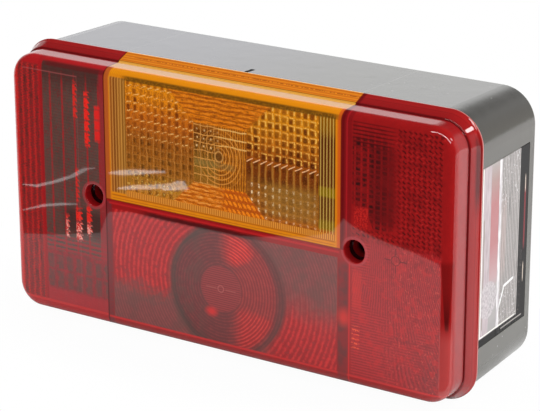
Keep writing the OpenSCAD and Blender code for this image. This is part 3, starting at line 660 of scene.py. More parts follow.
leftLook = {
    "flutePitch": 3.3,
    "fluteStart": -111.2,
    "scallopPitch": 1.35,
    "insideFrom": -99.4,
    "ribPitch": 7,
    "ribStart": -98.3,
    "cellPitch": 5.6,
    "glint": ((246, 44, 34), (255, 176, 164)),
    # glints as (low x, high x, low z, high z, share)
    "strokes": ((-81.6, -79.4, 36, 54, 0.7), (-75.2, -72.4, 24, 50, 1), (-81.2, -79.4, -4, 12, 0.6),
                (-87.6, -85.8, -22.5, -12, 0.9), (-81.6, -78, -23, -7.5, 1), (-75.2, -72.4, -19.5, -5.5, 0.95)),
    "rough": 0.3,
    "skinIor": 1.52,
}


def leftPaint(look):
    # flutes near the edge, a dull inside with thin lines and bright glints, rows and cells low down
    p = Paint("redLensLeft")
    x, y, z = p.place()
    blob = p.noise(0.3, 3, 0.6)
    fleck = p.noise(1.2, 2, 0.6)
    grain = p.noise(0.55, 4, 0.7, (1, 1, 0.55))
    waver = (p.noise(0.25, 2, 0.5, (0.2, 1, 2)) - 0.5) * 1.6
    # plain band near the edge: broad flutes with small dark scallops
    scallop = p.wave(z, look["scallopPitch"])
    flute = p.wave(x + waver * 0.4 + (scallop - 0.5) * 0.7, look["flutePitch"], look["fluteStart"])
    speckle = p.noise(1.5, 2, 0.6, (1, 1, 1.8))
    ground = p.mix((120, 46, 42), (158, 30, 34), p.step(speckle, 0.36, 0.6))
    ground = p.mix(ground, (84, 40, 36), p.step(p.noise(0.5, 3, 0.6, (1, 1, 0.4)), 0.5, 0.66) * 0.6)
    thread = p.step(flute + (speckle - 0.5) * 1.6, 0.5, 1)
    plate = p.band(z, -56.6, 59, 0.8)
    colour = p.mix(p.mix((182, 28, 32), ground, plate), (216, 42, 38), thread * (grain * 0.8 + 0.25) * plate)
    colour = p.layers(
        colour,
        ((170, 24, 30), p.band(x, -101.6, -98.8, 0.3) * 0.7),
        ((226, 40, 36), p.step(x, -113, -115.5) * 0.7))
    # dull inside behind the rest of the plate, with thin red lines
    inside = p.step(x, look["insideFrom"] - 0.4, look["insideFrom"] + 0.4)
    dark = p.mix((84, 62, 55), (110, 82, 74), p.noise(0.12, 4, 0.6, (1, 1, 0.5)))
    dark = p.layers(
        dark,
        ((132, 60, 58), p.step(grain, 0.5, 0.7) * 0.5),
        ((64, 50, 44), p.step(p.wave(z + (fleck - 0.5) * 1.2, 1.45), 0.5, 0.9) * 0.22),
        ((134, 34, 36), p.step(speckle, 0.5, 0.66) * p.step(blob, 0.36, 0.6, 0.25, 0.8)),
        ((66, 26, 24), p.step(z + (grain - 0.5) * 14, 44, 58) * 0.55),
        ((52, 22, 22), p.band(z, -20, -8, 3) * p.step(x, -92, -84) * 0.55))
    rib = p.fraction(x, look["ribPitch"], look["ribStart"])
    line = p.band(rib, 0.42, 0.56, 0.05) * p.step(p.noise(0.6, 2, 0.6, (0.3, 1, 1)), 0.25, 0.6, 0.45, 1)
    dark = p.mix(dark, (178, 30, 36), line * p.step(z + (fleck - 0.5) * 8, 60, 50) * 0.8)
    # bright glints where the ribs catch the light
    tooth = p.fraction(z + (grain - 0.5) * 3, 2.6, 0.4)
    gap = p.step(p.wave(z + (grain - 0.5) * 5, 5.6), 0.03, 0.12)
    bright = p.step(z, -12, -17)
    glintColour = p.mix(*look["glint"], bright * p.step(fleck, 0.42, 0.58))
    glintColour = p.mix(glintColour, (168, 28, 28), p.step(fleck, 0.5, 0.34) * 0.5)
    torn = x + tooth * 1.6 - 0.5 + (fleck - 0.5) * 1.2
    for x0, x1, z0, z1, share in look["strokes"]:
        patch = p.step(x, x0 - 0.3, x0 + 0.2) * p.step(torn, x1 + 0.3, x1 - 0.3)
        patch = patch * p.band(z + (fleck - 0.5) * 3, z0, z1, 1.2)
        dark = p.mix(dark, glintColour, patch * (gap * 0.8 + 0.2) * share)
    block = p.band(x + (fleck - 0.5) * 0.8, -69.4, -66, 0.3) * p.band(z + (fleck - 0.5) * 2, 27, 44, 0.8)
    dark = p.mix(dark, (232, 40, 36), block * p.step(p.wave(z, 5), 0.02, 0.2, 0.6, 1))
    nearSeam = p.step(x, -67.2, -65.8)
    dark = p.mix(dark, (168, 36, 44), nearSeam * 0.7)
    # low part: red rows, then two rows of dull cells
    rows = p.band(z, -31.5, -23, 1)
    dark = p.mix(dark, (172, 38, 46), rows * p.step(p.wave(z, 2.3) + (speckle - 0.5) * 2.4, 0.1, 0.9) * 0.8)
    cells = p.step(z, -30, -31.5)
    cell = p.band(p.fraction(x, look["cellPitch"], -100.2) + (grain - 0.5) * 0.5, 0.22, 0.82, 0.14)
    cell = cell * (p.band(z, -40, -33, 0.4) | p.band(z, -49.4, -41.2, 0.4))
    lowRed = p.mix((166, 40, 46), (126, 50, 50), p.step(grain, 0.35, 0.65))
    dark = p.layers(
        dark,
        (p.mix(lowRed, (96, 70, 64), cell * (speckle * 0.9 + 0.1)), cells),
        (p.mix((190, 40, 46), (160, 42, 48), grain), p.step(z, -49.4, -51.5)))
    colour = p.mix(colour, dark, inside * p.band(z, -56.8, 61.2, 0.7))
    # thin raised frame and the edge of the plate
    frameLine = p.band(z, 56.2, 56.8, 0.15) * p.band(x, -111, -79, 0.4)
    frameLine = frameLine | p.band(x, -79.6, -79, 0.15) * p.band(z, -50, 56.8, 0.4) * 0.4
    colour = p.layers(
        colour,
        ((190, 92, 92), frameLine * 0.4),
        ((214, 46, 46), p.band(z, -57.8, -56.6, 0.3) * 0.8),
        ((110, 20, 24), p.band(z, 59.4, 61.4, 0.5) * p.step(x, -100, -96) * 0.6))
    colour = rimRed(p, colour, x, y, z, blob)
    colour = p.mix(colour, (70, 6, 10), p.step(x, -64.15, -63.8) * 0.85)
    height = (flute * 0.4 + p.wave(x, look["ribPitch"], -94.8) * 0.5 + scallop * 0.1) * p.band(z, -57, 59, 0.5)
    return clearSkin(p, look, colour, height, 0.35, blob)


mainLook = {
    "stopCentre": (0.3, -31.2),
    "stopField": (-60.2, 62.2, -57.2, -3.6),
    "ringWide": 2.55,
    "ringFine": 1.55,
    "rimCentre": 4,
    "rimRadius": 30.9,
    "spot": (-4.8, -43),
    "rightField": (69.4, 113.8, -57.2, 59.6),
    # its cells as (pitch x, start x, pitch z, start z), and the height where they end below, along x
    "cell": (3.3, 70.6, 2.27, 8),
    "stairs": ((70, 22.5), (77, 19.5), (80.5, 11), (96, 15)),
    "commaPitch": 2.5,
    "ribPitch": 1.2,
    "threadPitch": 1.3,
    "mark": (91.4, 0.45),
    "rough": 0.3,
    "skinIor": 1.52,
}


def mainPaint(look):
    # rings round the lamp in the stop field; cells, commas and fine ribs in the right field
    p = Paint("redLensMain")
    x, y, z = p.place()
    blob = p.noise(0.3, 3, 0.6)
    fleck = p.noise(1.2, 2, 0.6)
    cloud = p.noise(0.12, 3, 0.55, (1, 3, 1))
    plain = p.mix((174, 24, 24), (148, 18, 20), blob)
    # stop field: rings round the lamp, bright where they catch the light, dull elsewhere
    cx, cz = look["stopCentre"]
    u, w = x - cx, z - cz
    radius = p.reach(u, w)
    rimRadius = p.reach(x - look["rimCentre"], w)
    wide = p.wave(radius + (cloud - 0.5) * 1.2, look["ringWide"], 0.4)
    fine = p.wave(radius + (cloud - 0.5) * 0.8, look["ringFine"])
    drift = (cloud - 0.5) * 12
    stopField = p.patch(x, z, look["stopField"], (0.3, 0.3))
    soft = p.noise(0.5, 3, 0.65)
    bright = p.mix((168, 26, 30), (216, 46, 45), p.step(wide * 0.65 + (soft - 0.5) * 1.8, 0, 0.95))
    bright = p.mix(bright, (150, 42, 44), p.step(soft, 0.45, 0.3) * 0.6)
    dull = p.mix((130, 64, 62), (152, 72, 69), p.step(fine * 0.7 + (soft - 0.5) * 1.4, 0.1, 0.9))
    dull = p.mix(dull, (110, 70, 64), p.step(cloud, 0.42, 0.62) * 0.5)
    lit = p.step(z + drift + (soft - 0.5) * 9, -44, -33) * p.step(x + drift * 0.3, -4, -15)
    lit = lit | p.step(z + x * 0.12 + drift + (soft - 0.5) * 9, -18, -38) * p.step(x, 18, 30)
    outside = p.mix(dull, bright, lit)
    within = p.mix((112, 48, 48), (142, 56, 55), p.step(fine * 0.55 + (soft - 0.5) * 1.6, 0.05, 0.9))
    within = p.mix(within, (100, 62, 56), p.step(cloud, 0.45, 0.6) * p.step(x, -4, -14) * 0.5)
    fan = p.step(w - u * 0.6 + drift * 0.4, 3, 11) * p.band(radius, 14, 29, 3.5) * p.band(x, 3, 19, 5)
    low = p.step(w + u * 0.2 + drift * 0.4, 1, -8) * p.band(radius, 12, 30, 2) * p.step(x, 4, 14)
    mid = p.step(x, 2, 12) * p.band(radius, 11, 30, 1.5) * 0.3
    glow = fan | low * 0.75 | mid
    within = p.mix(within, p.mix((182, 30, 32), (236, 62, 54), p.step(fine * 0.8 + (soft - 0.5) * 1.2, 0.1, 0.9)), glow)
    eye = p.mix((132, 42, 44), (172, 58, 58), p.wave(z, 1.05))
    within = p.mix(within, eye, p.step(radius, 11.6, 10.2) * 0.8)
    sx, sz = x - look["spot"][0], z - look["spot"][1]
    within = p.layers(
        within,
        ((240, 36, 36), p.step((sx * sx + sz * sz * 2).math("SQRT"), 5, 0.5) * 0.75),
        ((196, 92, 88), p.band(radius, 1.3, 1.8, 0.2) * 0.6))
    bar = p.band(w, -0.25, 0.25, 0.15) * p.band(abs(u), 2.4, 8, 0.6)
    within = p.mix(within, (186, 88, 84), bar * 0.5)
    stop = p.mix(within, outside, p.step(rimRadius - look["rimRadius"], -0.9, 0.9))
    rimDark = p.band(rimRadius + (cloud - 0.5) * 3, 28.4, 32.4, 2.2) * p.step(x, 6, -10, 0.45, 1)
    stop = p.mix(stop, (78, 60, 54), rimDark * 0.7)
    colour = p.mix(plain, stop, stopField)
    topDark = p.band(z + (cloud - 0.5) * 2, -4.2, -2, 0.7) * p.band(x, -42, 22, 6)
    colour = p.mix(colour, (52, 14, 16), topDark * 0.8)
    margin = p.step(x, -59.4, -61.4) * p.step(z, 0, -1)
    colour = p.layers(
        colour,
        (p.mix((112, 46, 50), (140, 34, 38), p.step(fleck, 0.4, 0.7)), margin * 0.8),
        ((200, 30, 34), p.band(z, -1.6, -0.6, 0.25) * p.band(x, -62, 63, 0.5) * 0.8),
        ((218, 42, 42), p.band(z, -58.2, -57.2, 0.3) * 0.8))
    darkBand = p.band(x, 62.6, 67.6, 0.7) * p.step(z, -4, -7)
    colour = p.mix(colour, p.mix((96, 44, 44), (134, 34, 36), p.step(cloud, 0.4, 0.6)), darkBand * 0.8)
    gx, gz = x - 65.6, z + 31
    colour = p.layers(
        colour,
        ((240, 44, 32), p.step((gx * gx + gz * gz * 0.6).math("SQRT"), 5, 0.5) * 0.65),
        ((214, 36, 36), p.band(x, 68, 68.7, 0.15) * p.step(z, -4, -6) * 0.8))
    # right field, upper half: dark cells beside the lamp wall, then leaf-like pillows
    upperRed = p.mix((176, 24, 24), (146, 18, 20), blob)
    pitchX, startX, pitchZ, startZ = look["cell"]
    pu, pz = p.fraction(x, pitchX, startX), p.fraction(z, pitchZ, startZ)
    luck = p.cellRandom(x, pitchX, startX, z, pitchZ, startZ)
    patchy = p.step(p.noise(0.4, 3, 0.6), 0.38, 0.6)
    spot = p.band(pu, 0.12, 0.86, 0.14) * p.band(pz, 0.14, 0.88, 0.16)
    stairs = p.ramp(x, *look["stairs"])
    cells = p.step(x + (blob - 0.5) * 5, 95, 82) * p.step(z - stairs, -0.6, 0.6) * p.step(z, 58, 50)
    squares = p.mix(upperRed, (40, 18, 18), spot * cells * (luck * 0.35 + patchy * 0.35 + 0.3))
    between = p.step(p.band(pz, 0.1, 0.9, 0.1), 1, 0) * cells
    squares = p.mix(squares, (92, 16, 18), between * 0.4)
    warm = p.band(x, 70.4, 77.4, 0.4) * p.band(z, 8.5, 21.5, 0.8)
    squares = p.mix(squares, p.mix((208, 38, 32), (150, 20, 22), p.step(fleck, 0.4, 0.62)), warm * 0.85)
    shade = p.band(x + (blob - 0.5) * 6, 79, 95, 2) * p.band(z, 16, 50, 2)
    squares = p.mix(squares, (84, 16, 18), shade * 0.45)
    rungs = p.step(p.wave(z + (fleck - 0.5) * 0.4, 1.75), 0.45, 0.8) * p.band(z, 49, 61, 1.5)
    squares = p.mix(squares, (74, 14, 16), rungs * p.step(x + (blob - 0.5) * 14, 96, 84) * 0.7)
    # dark commas, row by row
    rowShift = (p.noise(0.5, 2, 0.6) - 0.5) * 2.6
    squiggle = x + (z * (2 * math.pi / pitchZ)).math("SINE") * 0.45 + rowShift
    comma = p.wave(squiggle, look["commaPitch"]) * (p.wave(z + (fleck - 0.5) * 1.2, pitchZ) * 0.6 + 0.4)
    rise = p.wave(squiggle, look["commaPitch"], look["commaPitch"] / 2)
    leaf = p.mix(upperRed, (98, 12, 14), p.step(comma + (fleck - 0.5) * 0.8, 0.2, 0.85) * 0.8)
    leaf = p.layers(
        leaf,
        ((64, 14, 14), p.step(comma + (fleck - 0.5) * 0.5, 0.5, 0.95) * patchy * 0.55),
        ((204, 42, 40), p.step(rise * p.wave(z + (fleck - 0.5), pitchZ, 1.1), 0.4, 0.95) * (1 - patchy) * 0.5))
    leafShare = p.step(x + (blob - 0.5) * 8, 88, 95) | p.step(z, 14, 10)
    upper = p.mix(squares, leaf, leafShare)
    upper = p.mix(upper, (108, 14, 16), p.step(p.noise(0.16, 3, 0.6), 0.5, 0.66) * 0.35)
    # lower half: fine upright ribs that bend away at the right, with level threads between them
    bend = x - 68 + (z + 20) * (x - 86) * 0.014 + blob - 0.5
    thin = p.wave(bend, look["ribPitch"])
    ribbed = p.mix((152, 28, 32), (186, 38, 42), p.step(thin + (fleck - 0.5) * 1.4, 0.2, 0.8))
    level = p.wave(z + (fleck - 0.5) * 0.5, look["threadPitch"])
    threads = p.mix((158, 26, 30), (188, 38, 42), p.step(level + (fleck - 0.5) * 1.6, 0.2, 0.8))
    lower = p.mix(ribbed, threads, p.step(cloud + p.step(x, 92, 74) * 0.25 - p.step(z, -40, -10) * 0.3, 0.4, 0.6))
    lower = p.mix(lower, (116, 20, 26), p.step(p.noise(0.35, 3, 0.65), 0.5, 0.36) * p.step(x, 80, 90) * 0.45)
    # painted glints: bright orange-red strokes low on the left of the right field
    lowGlint = p.band(x + (fleck - 0.5) * 3, 69.8, 73.6, 0.6) * p.band(z, -44.5, -34, 1.2)
    lowGlint = lowGlint * p.step(p.wave(z, 2.1) + (fleck - 0.5) * 2, 0.6, 0.9)
    lower = p.layers(
        lower,
        ((250, 88, 50), lowGlint * 0.9),
        ((118, 48, 50), p.step(x + (blob - 0.5) * 20, 92, 112) * p.step(z, -26, -50) * 0.4),
        ((232, 76, 66), p.step(p.noise(0.9, 2, 0.6, (1, 1, 0.6)), 0.58, 0.68) * p.step(x, 80, 94) * 0.5),
        ((206, 34, 36), p.step(p.noise(0.25, 3, 0.65), 0.5, 0.66) * 0.6),
        ((216, 40, 34), p.band(x, 69.8, 74.5, 0.6) * p.band(z, -26, -8, 2) * 0.5))
    field = p.mix(lower, upper, p.step(z + (blob - 0.5) * 5, 4.6, 9))
    fieldMask = p.patch(x, z, look["rightField"], (0.7, 0.6))
    colour = p.layers(
        colour,
        (field, fieldMask),
        ((124, 14, 20), p.band(x, 64.2, 69, 0.5) * p.step(z, 3, 8) * 0.6),
        ((200, 30, 38), p.band(x, 66.2, 66.9, 0.15) * p.step(z, 3, 8) * 0.5))
    wedge = p.step(x + (z - 4) * 0.075, 113.4, 113.9) * p.step(x - (z + 27) * 0.04, 117.6, 116.8)
    wedge = wedge * p.band(z, -27, 4, 1.5)
    colour = p.mix(colour, p.mix((44, 6, 6), (120, 12, 12), p.step(z, -26, -6)), wedge * 0.75)
    # aiming mark: a small circle and four ticks
    mu, mz = x - look["mark"][0], z - look["mark"][1]
    reach = p.reach(mu, mz)
    ticks = (p.step(abs(mu), 0.3, 0.15) | p.step(abs(mz), 0.3, 0.15)) * p.band(reach, 2.3, 5.6, 0.1)
    mark = p.band(reach, 1.9, 2.3, 0.12) | ticks
    colour = p.mix(colour, (92, 14, 22), mark * 0.75)
    colour = rimRed(p, colour, x, y, z, blob)
    # painted reflection: the rounded edge below the dark wedge mirrors the paper too
    pale = p.band(x, 113.6, 119.4, 0.4) * p.step(z, -22, -34) * p.step(y, -67.5, -68.5)
    colour = p.mix(colour, (206, 88, 86), pale * 0.55)
    overAmber = p.step(z, 0.2, 0.45) * p.step(x, 66, 64.6)
    colour = p.layers(
        colour,
        ((96, 8, 12), overAmber * 0.7),
        ((96, 10, 14), p.step(x, -63, -63.4) * 0.8))
    height = fine * 0.15 * stopField + fieldMask * p.step(z, 6.6, 8) * (1 - comma) * 0.5 + thin * 0.3 * fieldMask
    return clearSkin(p, look, colour, height, 0.4, blob)


lensPieces(lensSize, {"lens_left": leftPaint(leftLook), "lens_amber": amberPaint(amberLook),
                      "lens_main": mainPaint(mainLook)})


# finishes of the CAD nodes that stay

def plasticPaint(name, colour, other, rough):
    # moulded plastic: slow colour drift, fine grain and a few rubbed spots
    p = Paint(name)
    p.place()
    drift = p.noise(0.03, 4, 0.6)
    fine = p.noise(0.9, 3, 0.6)
    rub = p.step(p.noise(0.12, 5, 0.7), 0.56, 0.72)
    base = p.mix(colour, other, drift)
    base = p.mix(base, paler(colour, 22), rub * 0.25)
    return p.finish(colour=base, rough=fine * 0.12 + rub * 0.08 + rough, normal=p.bump(fine, 0.00006, 0.6))


def metalPaint(name, colour, other, rough, brush=(1, 1, 1)):
    # plated or rolled metal with fine lines and dull patches
    p = Paint(name)
    p.place()
    line = p.noise(1.6, 3, 0.6, brush)
    patch = p.step(p.noise(0.1, 4, 0.6), 0.45, 0.65)
    base = p.mix(colour, other, patch * 0.6)
    return p.finish(colour=base, metal=1, rough=line * 0.16 + patch * 0.1 + rough, normal=p.bump(line, 0.00003, 0.5))


def rubberPaint(name, colour):
    # matt rubber with dust in patches
    p = Paint(name)
    p.place()
    dust = p.step(p.noise(0.25, 5, 0.7), 0.5, 0.75)
    fine = p.noise(2.2, 2, 0.5)
    base = p.mix(colour, paler(colour, 26), dust * 0.5)
    return p.finish(colour=base, rough=fine * 0.1 + 0.6, normal=p.bump(fine, 0.00005, 0.6), specular=0.3)


def glassPaint(name, colour, other):
    # thin clear glass with a faint grey drift
    p = Paint(name)
    p.place()
    haze = p.noise(0.08, 3, 0.6)
    return p.finish(colour=p.mix(colour, other, haze), rough=haze * 0.05 + 0.03, alpha=0.35, specular=0.6)


housingLook = {
    "grey": (93, 92, 88),
    "shade": (86, 85, 82),
    "topLeftLight": (98, 98, 106),
    "sideHighShade": (66, 62, 54),
    "sideLowLight": (88, 86, 80),
    "bend": (52, 50, 46),
    "rough": 0.15,
    "nick": (-0.9, 1.3),
    "lines": (-66.5, 61),
    "half": 64,
}


def housingPaint(look):
    # smooth grey moulding: slow colour drift, fine grain, a few rubbed spots, painted light on the top and low on the
    # side, painted shade high on the side, at the corner and in a dark nick at the top edge
    p = Paint("greyPlastic")
    x, y, z = p.place()
    drift = p.noise(0.03, 4, 0.6)
    fine = p.noise(0.9, 3, 0.6)
    rub = p.step(p.noise(0.12, 5, 0.7), 0.56, 0.72)
    base = p.mix(look["grey"], look["shade"], drift)
    base = p.mix(base, paler(look["grey"], 22), rub * 0.2)
    # painted light: the top lighter and bluer towards the left
    top = p.step(z, look["half"] - 0.6, look["half"])
    base = p.mix(base, look["topLeftLight"], top * p.step(x, 60, -60))
    # painted light and shade down the side: lighter low down, darker and browner high up, and a band of painted shade
    # at the bend of the corner
    side = p.step(x, 112, 118.5)
    base = p.layers(
        base,
        (p.mix(look["sideLowLight"], look["sideHighShade"], p.step(z, -40, 40)), side),
        (look["bend"], p.band(x, 106, 119, 5) * p.step(z, 46, 58) * 0.8))
    # painted shade: the nick at the top edge is dark, rough and metallic
    low, high = look["nick"]
    nick = p.band(x + (fine - 0.5) * 1.5, low, high, 0.2) * p.step(y, -43, -43.5) * p.step(z, 60, 61)
    base = p.mix(base, (5, 5, 5), nick)
    for line in look["lines"]:
        base = p.mix(base, (150, 149, 146), p.band(x, line - 0.15, line + 0.15, 0.2) * top * 0.5)
    speck = p.step(p.noise(0.5, 2, 0.5), 0.74, 0.78)
    base = p.mix(base, (176, 175, 172), speck * 0.6)
    height = fine * 0.5 + p.noise(0.08, 2, 0.5) * 2
    return p.finish(colour=base, rough=fine * 0.06 + rub * 0.05 + nick * 0.5 + look["rough"], metal=nick,
                    normal=p.bump(height, 0.00008, 0.5), specular=1)


windowLook = {
    "front": -50.2,
    "pinkStart": -41.9,
    "pinkRamp": ((-41, (152, 148, 147)), (-16, (158, 152, 151)), (-11.5, (176, 140, 142)), (4, (168, 92, 96)),
                 (22, (166, 88, 90)), (33, (154, 116, 110)), (41, (156, 146, 142))),
    "ribStart": -34,
    "fluteStart": -31.6,
    "stripStart": -13.4,
    "flutePitch": 1.55,
    "discCentre": (-42.6, -20.5),
    "discRadius": 8.6,
}


def windowPaint(look):
    # pale pane: plain part over the lamp room, a bright rib, fine upright flutes, a dark edge behind and below
    p = Paint("windowPane")
    _, y, z = p.place()
    blob = p.noise(0.2, 3, 0.6)
    fleck = p.noise(1.4, 2, 0.6, (1, 1, 0.5))
    streak = p.noise(0.7, 2, 0.6, (1, 1, 0.12))
    colour = p.mix((164, 148, 151), (186, 169, 174), p.step(streak, 0.35, 0.65))
    pink = p.ramp(z, *look["pinkRamp"])
    colour = p.layers(
        colour,
        (pink, p.step(y, look["pinkStart"] - 0.3, look["pinkStart"] + 0.3)),
        ((118, 104, 84), p.band(y, -48.3, -47.3, 0.25) * p.band(z, -33, 18, 1) * 0.7))
    dy, dz = y - look["discCentre"][0], z - look["discCentre"][1]
    disc = p.step(p.reach(dy, dz) - look["discRadius"], 0.4, -0.6)
    colour = p.layers(
        colour,
        (p.mix((206, 194, 199), (152, 146, 147), p.step(fleck, 0.35, 0.65)), disc * 0.75),
        ((146, 142, 142), p.step(z, -30, -33) * p.step(y, -44, -41) * 0.6))
    flute = p.wave(y, look["flutePitch"])
    dark = p.mix((84, 78, 73), (112, 105, 103), blob)
    fluted = p.mix(dark, p.mix((142, 134, 131), (188, 180, 177), streak), p.step(flute + (fleck - 0.5) * 0.5, 0.2, 0.7))
    fluted = p.mix(fluted, (176, 148, 142), p.band(y, -31, -26.5, 1.5) * p.band(z, -12, 22, 6) * 0.5)
    glint = p.step(fleck, 0.6, 0.68) * p.step(abs(z), 14, 22)
    fluted = p.layers(
        fluted,
        ((238, 236, 236), glint * 0.7),
        ((66, 58, 52), p.step(p.noise(0.9, 2, 0.6, (1, 1, 0.06)), 0.56, 0.68) * 0.75))
    bend = p.band(z + 23 - (y + 29) * 1.75, -1.1, 0.9, 0.4) * p.band(y, -31.4, -26.8, 0.3)
    bend = bend | p.band(z + 18.3 - (y + 22) * 0.12, -0.6, 0.6, 0.3) * p.band(y, -27.4, -17.6, 0.6)
    fluted = p.mix(fluted, (244, 244, 244), bend * 0.9)
    colour = p.mix(colour, fluted, p.step(y, look["fluteStart"] - 0.15, look["fluteStart"] + 0.15))
    rib = p.band(y, look["ribStart"], look["fluteStart"], 0.2)
    colour = p.mix(colour, p.mix((236, 232, 234), (186, 178, 182), p.step(streak, 0.4, 0.6)), rib)
    strip = p.step(y, look["stripStart"] - 0.35, look["stripStart"] + 0.35)
    stripColour = p.mix((8, 6, 6), (26, 22, 22), blob)
    stripColour = p.mix(stripColour, (122, 40, 46), p.band(y, -8.5, -7.1, 0.4) * p.band(z, -6, 22, 3))
    fringe = p.band(y, -12.6, -9.6, 0.4) * p.step(p.noise(1, 2, 0.6, (1, 1, 2)), 0.56, 0.68)
    stripColour = p.mix(stripColour, (120, 112, 108), fringe * p.step(z, 6, -6) * 0.7)
    shine = p.band(z, 20, 27, 1.5) | p.band(z, -22, -14, 1.5)
    stripColour = p.mix(stripColour, (206, 190, 176), p.band(y, -8.2, -7.4, 0.25) * shine * 0.9)
    colour = p.mix(colour, stripColour, strip)
    under = p.step(z, -36.4, -36.9)
    colour = p.layers(
        colour,
        ((14, 11, 11), under),
        ((170, 164, 160), p.band(z, -38.6, -38, 0.2) * p.band(y, -29, -8, 0.6) * 0.8))
    edge = p.band(y, look["front"], -49.2, 0.15) | p.band(z, 41.2, 42, 0.15) * p.step(y, -13.4, -14.6)
    edge = edge | p.band(z, -36.4, -35.8, 0.15) * p.step(y, -14, -16)
    colour = p.mix(colour, (250, 248, 240), edge * p.step(z, -36.6, -36.2) * 0.9)
    height = flute * p.step(y, look["fluteStart"], look["fluteStart"] + 0.3) * p.step(y, -13, -14) + rib * 1.5
    return p.finish(colour=colour, rough=blob * 0.06 + 0.2, normal=p.bump(height, 0.0003, 0.5), specular=0.1,
                    coat=(1 - strip) * (1 - under), coatRough=0.03, coatIor=1.5)


lamps = ("indicator", "stop", "left", "right")
finishes = [
    # (maker, name of the material, its values, the nodes that take it)
    (plasticPaint, "darkPlastic", [(40, 40, 42), (34, 34, 36), 0.45], ["socket_" + n for n in lamps]),
    (plasticPaint, "paleNylon", [(214, 208, 192), (200, 194, 178), 0.42], ["terminal_block"]),
    (metalPaint, "plating", [(206, 208, 212), (188, 190, 196), 0.16],
     ["reflector_indicator", "reflector_stop", "reflector_right"]),
    (metalPaint, "nickel", [(186, 180, 168), (160, 150, 132), 0.24, (1, 6, 1)], ["bulb_cap_" + n for n in lamps]),
    (metalPaint, "wireSteel", [(150, 152, 156), (120, 122, 128), 0.3], ["filament_" + n for n in lamps]),
    (metalPaint, "brass", [(196, 160, 92), (168, 128, 70), 0.3, (6, 1, 1)],
     ["earth_strip"] + ["live_" + n for n in lamps]),
    (metalPaint, "zincSteel", [(150, 152, 150), (120, 122, 124), 0.34], ["terminal_screws"]),
    (metalPaint, "darkSteel", [(74, 60, 60), (52, 40, 42), 0.3], ["lens_screws"]),
    (rubberPaint, "blackRubber", [(30, 30, 31)],
     ["lens_seal", "window_seal", "screw_seals", "cable_grommet", "mount_bushings"]),
    (glassPaint, "bulbGlass", [(236, 240, 242), (214, 218, 222)], ["bulb_glass_" + n for n in lamps]),
]


def dress(node, material):
    # the material in every slot of the node
    for slot in node.material_slots:
        slot.material = material
    if not node.material_slots:
        node.data.materials.append(material)


dress(nodes["housing"], housingPaint(housingLook))
dress(nodes["side_window"], windowPaint(windowLook))
for paint, name, values, wearers in finishes:
    material = paint(name, *values)
    for wearer in wearers:
        dress(nodes[wearer], material)
    print("finish", name, "on", len(wearers), "nodes")
print("finishes set")


# stage: floor, world and lamps

stage = {
    "floorZ": -66.4,
    "floorEdge": [(-1600, -130), (-600, -145), (-230, -150), (-190, -157), (-171, -166), (-153, -181), (-170, -211),
                  (-160, -217), (-123, -216), (-89, -217), (-78, -222), (-72, -227), (-59, -234), (-51, -247),
                  (-54, -262), (-57, -271), (-48, -264), (-30, -255), (-17, -250), (-2, -246), (13, -240), (22, -236),
                  (41, -205), (58, -174), (72, -150), (92, -116), (112, -86), (125, -76), (1600, -50), (1600, 1600),
                  (-1600, 1600)],
    "paper": (0.93, 0.93, 0.93, 1),
    "paperShade": (0.91, 0.91, 0.91, 1),
    "shadowWhite": 0.97,
    # (points on the floor, width, strength)
    "streaks": [
        ([(-240, -223), (-231, -225), (-227, -237), (-225, -250), (-227, -265), (-223, -269)], 4.2, 3.4),
        ([(-211, -266), (-206, -270), (-198, -276), (-185, -285)], 9.0, 5.0),
        ([(-190, -246), (-184, -252), (-176, -258), (-168, -266), (-163, -272)], 8.0, 4.0),
        ([(-211, -188), (-206, -201), (-199, -208), (-192, -212)], 4.2, 2.8),
        ([(-168, -258), (-163, -266), (-168, -276)], 16.0, 5.5),
    ],
    "boxDistance": 1500.0,
    # (point of the lens that mirrors it, (azimuth, elevation) of the strip's points, width, strength)
    "softboxes": [
        ((112, -69.6, 59.6), [(-124.4, 45.6), (-119.9, 50.8), (-113.7, 55.5), (-105.2, 59.5), (-94.2, 62.5),
                              (-81.0, 64.2), (-66.8, 64.1), (-53.7, 62.3), (-42.7, 59.2), (-34.2, 55.0),
                              (-27.8, 50.2), (-23.0, 44.9), (-19.4, 39.3), (-16.8, 33.5)], 150.0, 16.0),
        ((118, -55, 60), [(14, 40), (18, 43), (22, 47)], 230.0, 15.0),
    ],
    # plain light of the world; the wall that gloss sees, by its rise, its side and its strength
    "ambient": 0.86,
    "wallRise": (0.42, 0.56),
    "wallBack": (0.0, 0.35),
    "wallGlow": 0.6,
}


def floorPaint(s):
    # white paper; the camera sees it almost pure white, with a weak shadow near the object
    p = Paint("paper")
    x, y, _ = p.place()
    tint = p.noise(0.02, 2.0, 0.5)
    material = p.finish(colour=p.mix(s["paper"], s["paperShade"], tint), rough=0.9, specular=0.05)
    away = p.reach(x / 128, (y + 30) / 60)
    white = p.step(away, 1.0, 1.8, s["shadowWhite"], 1.0)
    paper = Wire(p, p.shader.outputs[0])
    path = p.node("ShaderNodeLightPath", output=0)
    light = p.node("ShaderNodeEmission", inputs={"Color": (1, 1, 1, 1), "Strength": 1.0})
    both = p.node("ShaderNodeMixShader", inputs=[path * white, paper, light])
    p.plug(p.tree.nodes["Material Output"].inputs[0], both)
    return material


def lightPaint(name, strength):
    # seen only in reflections; white to the camera
    p = Paint(name)
    p.place()
    drift = p.step(p.noise(0.02, 2.0, 0.5), 0.3, 0.7, 0.75, 1.25)
    rays = p.node("ShaderNodeLightPath", output="Is Glossy Ray")
    lights = [p.node("ShaderNodeEmission", inputs=pair) for pair in ([(1, 1, 1, 1), 1.0], [drift, strength])]
    p.plug(p.tree.nodes["Material Output"].inputs[0], p.node("ShaderNodeMixShader", inputs=[rays, *lights]))
    return p.material


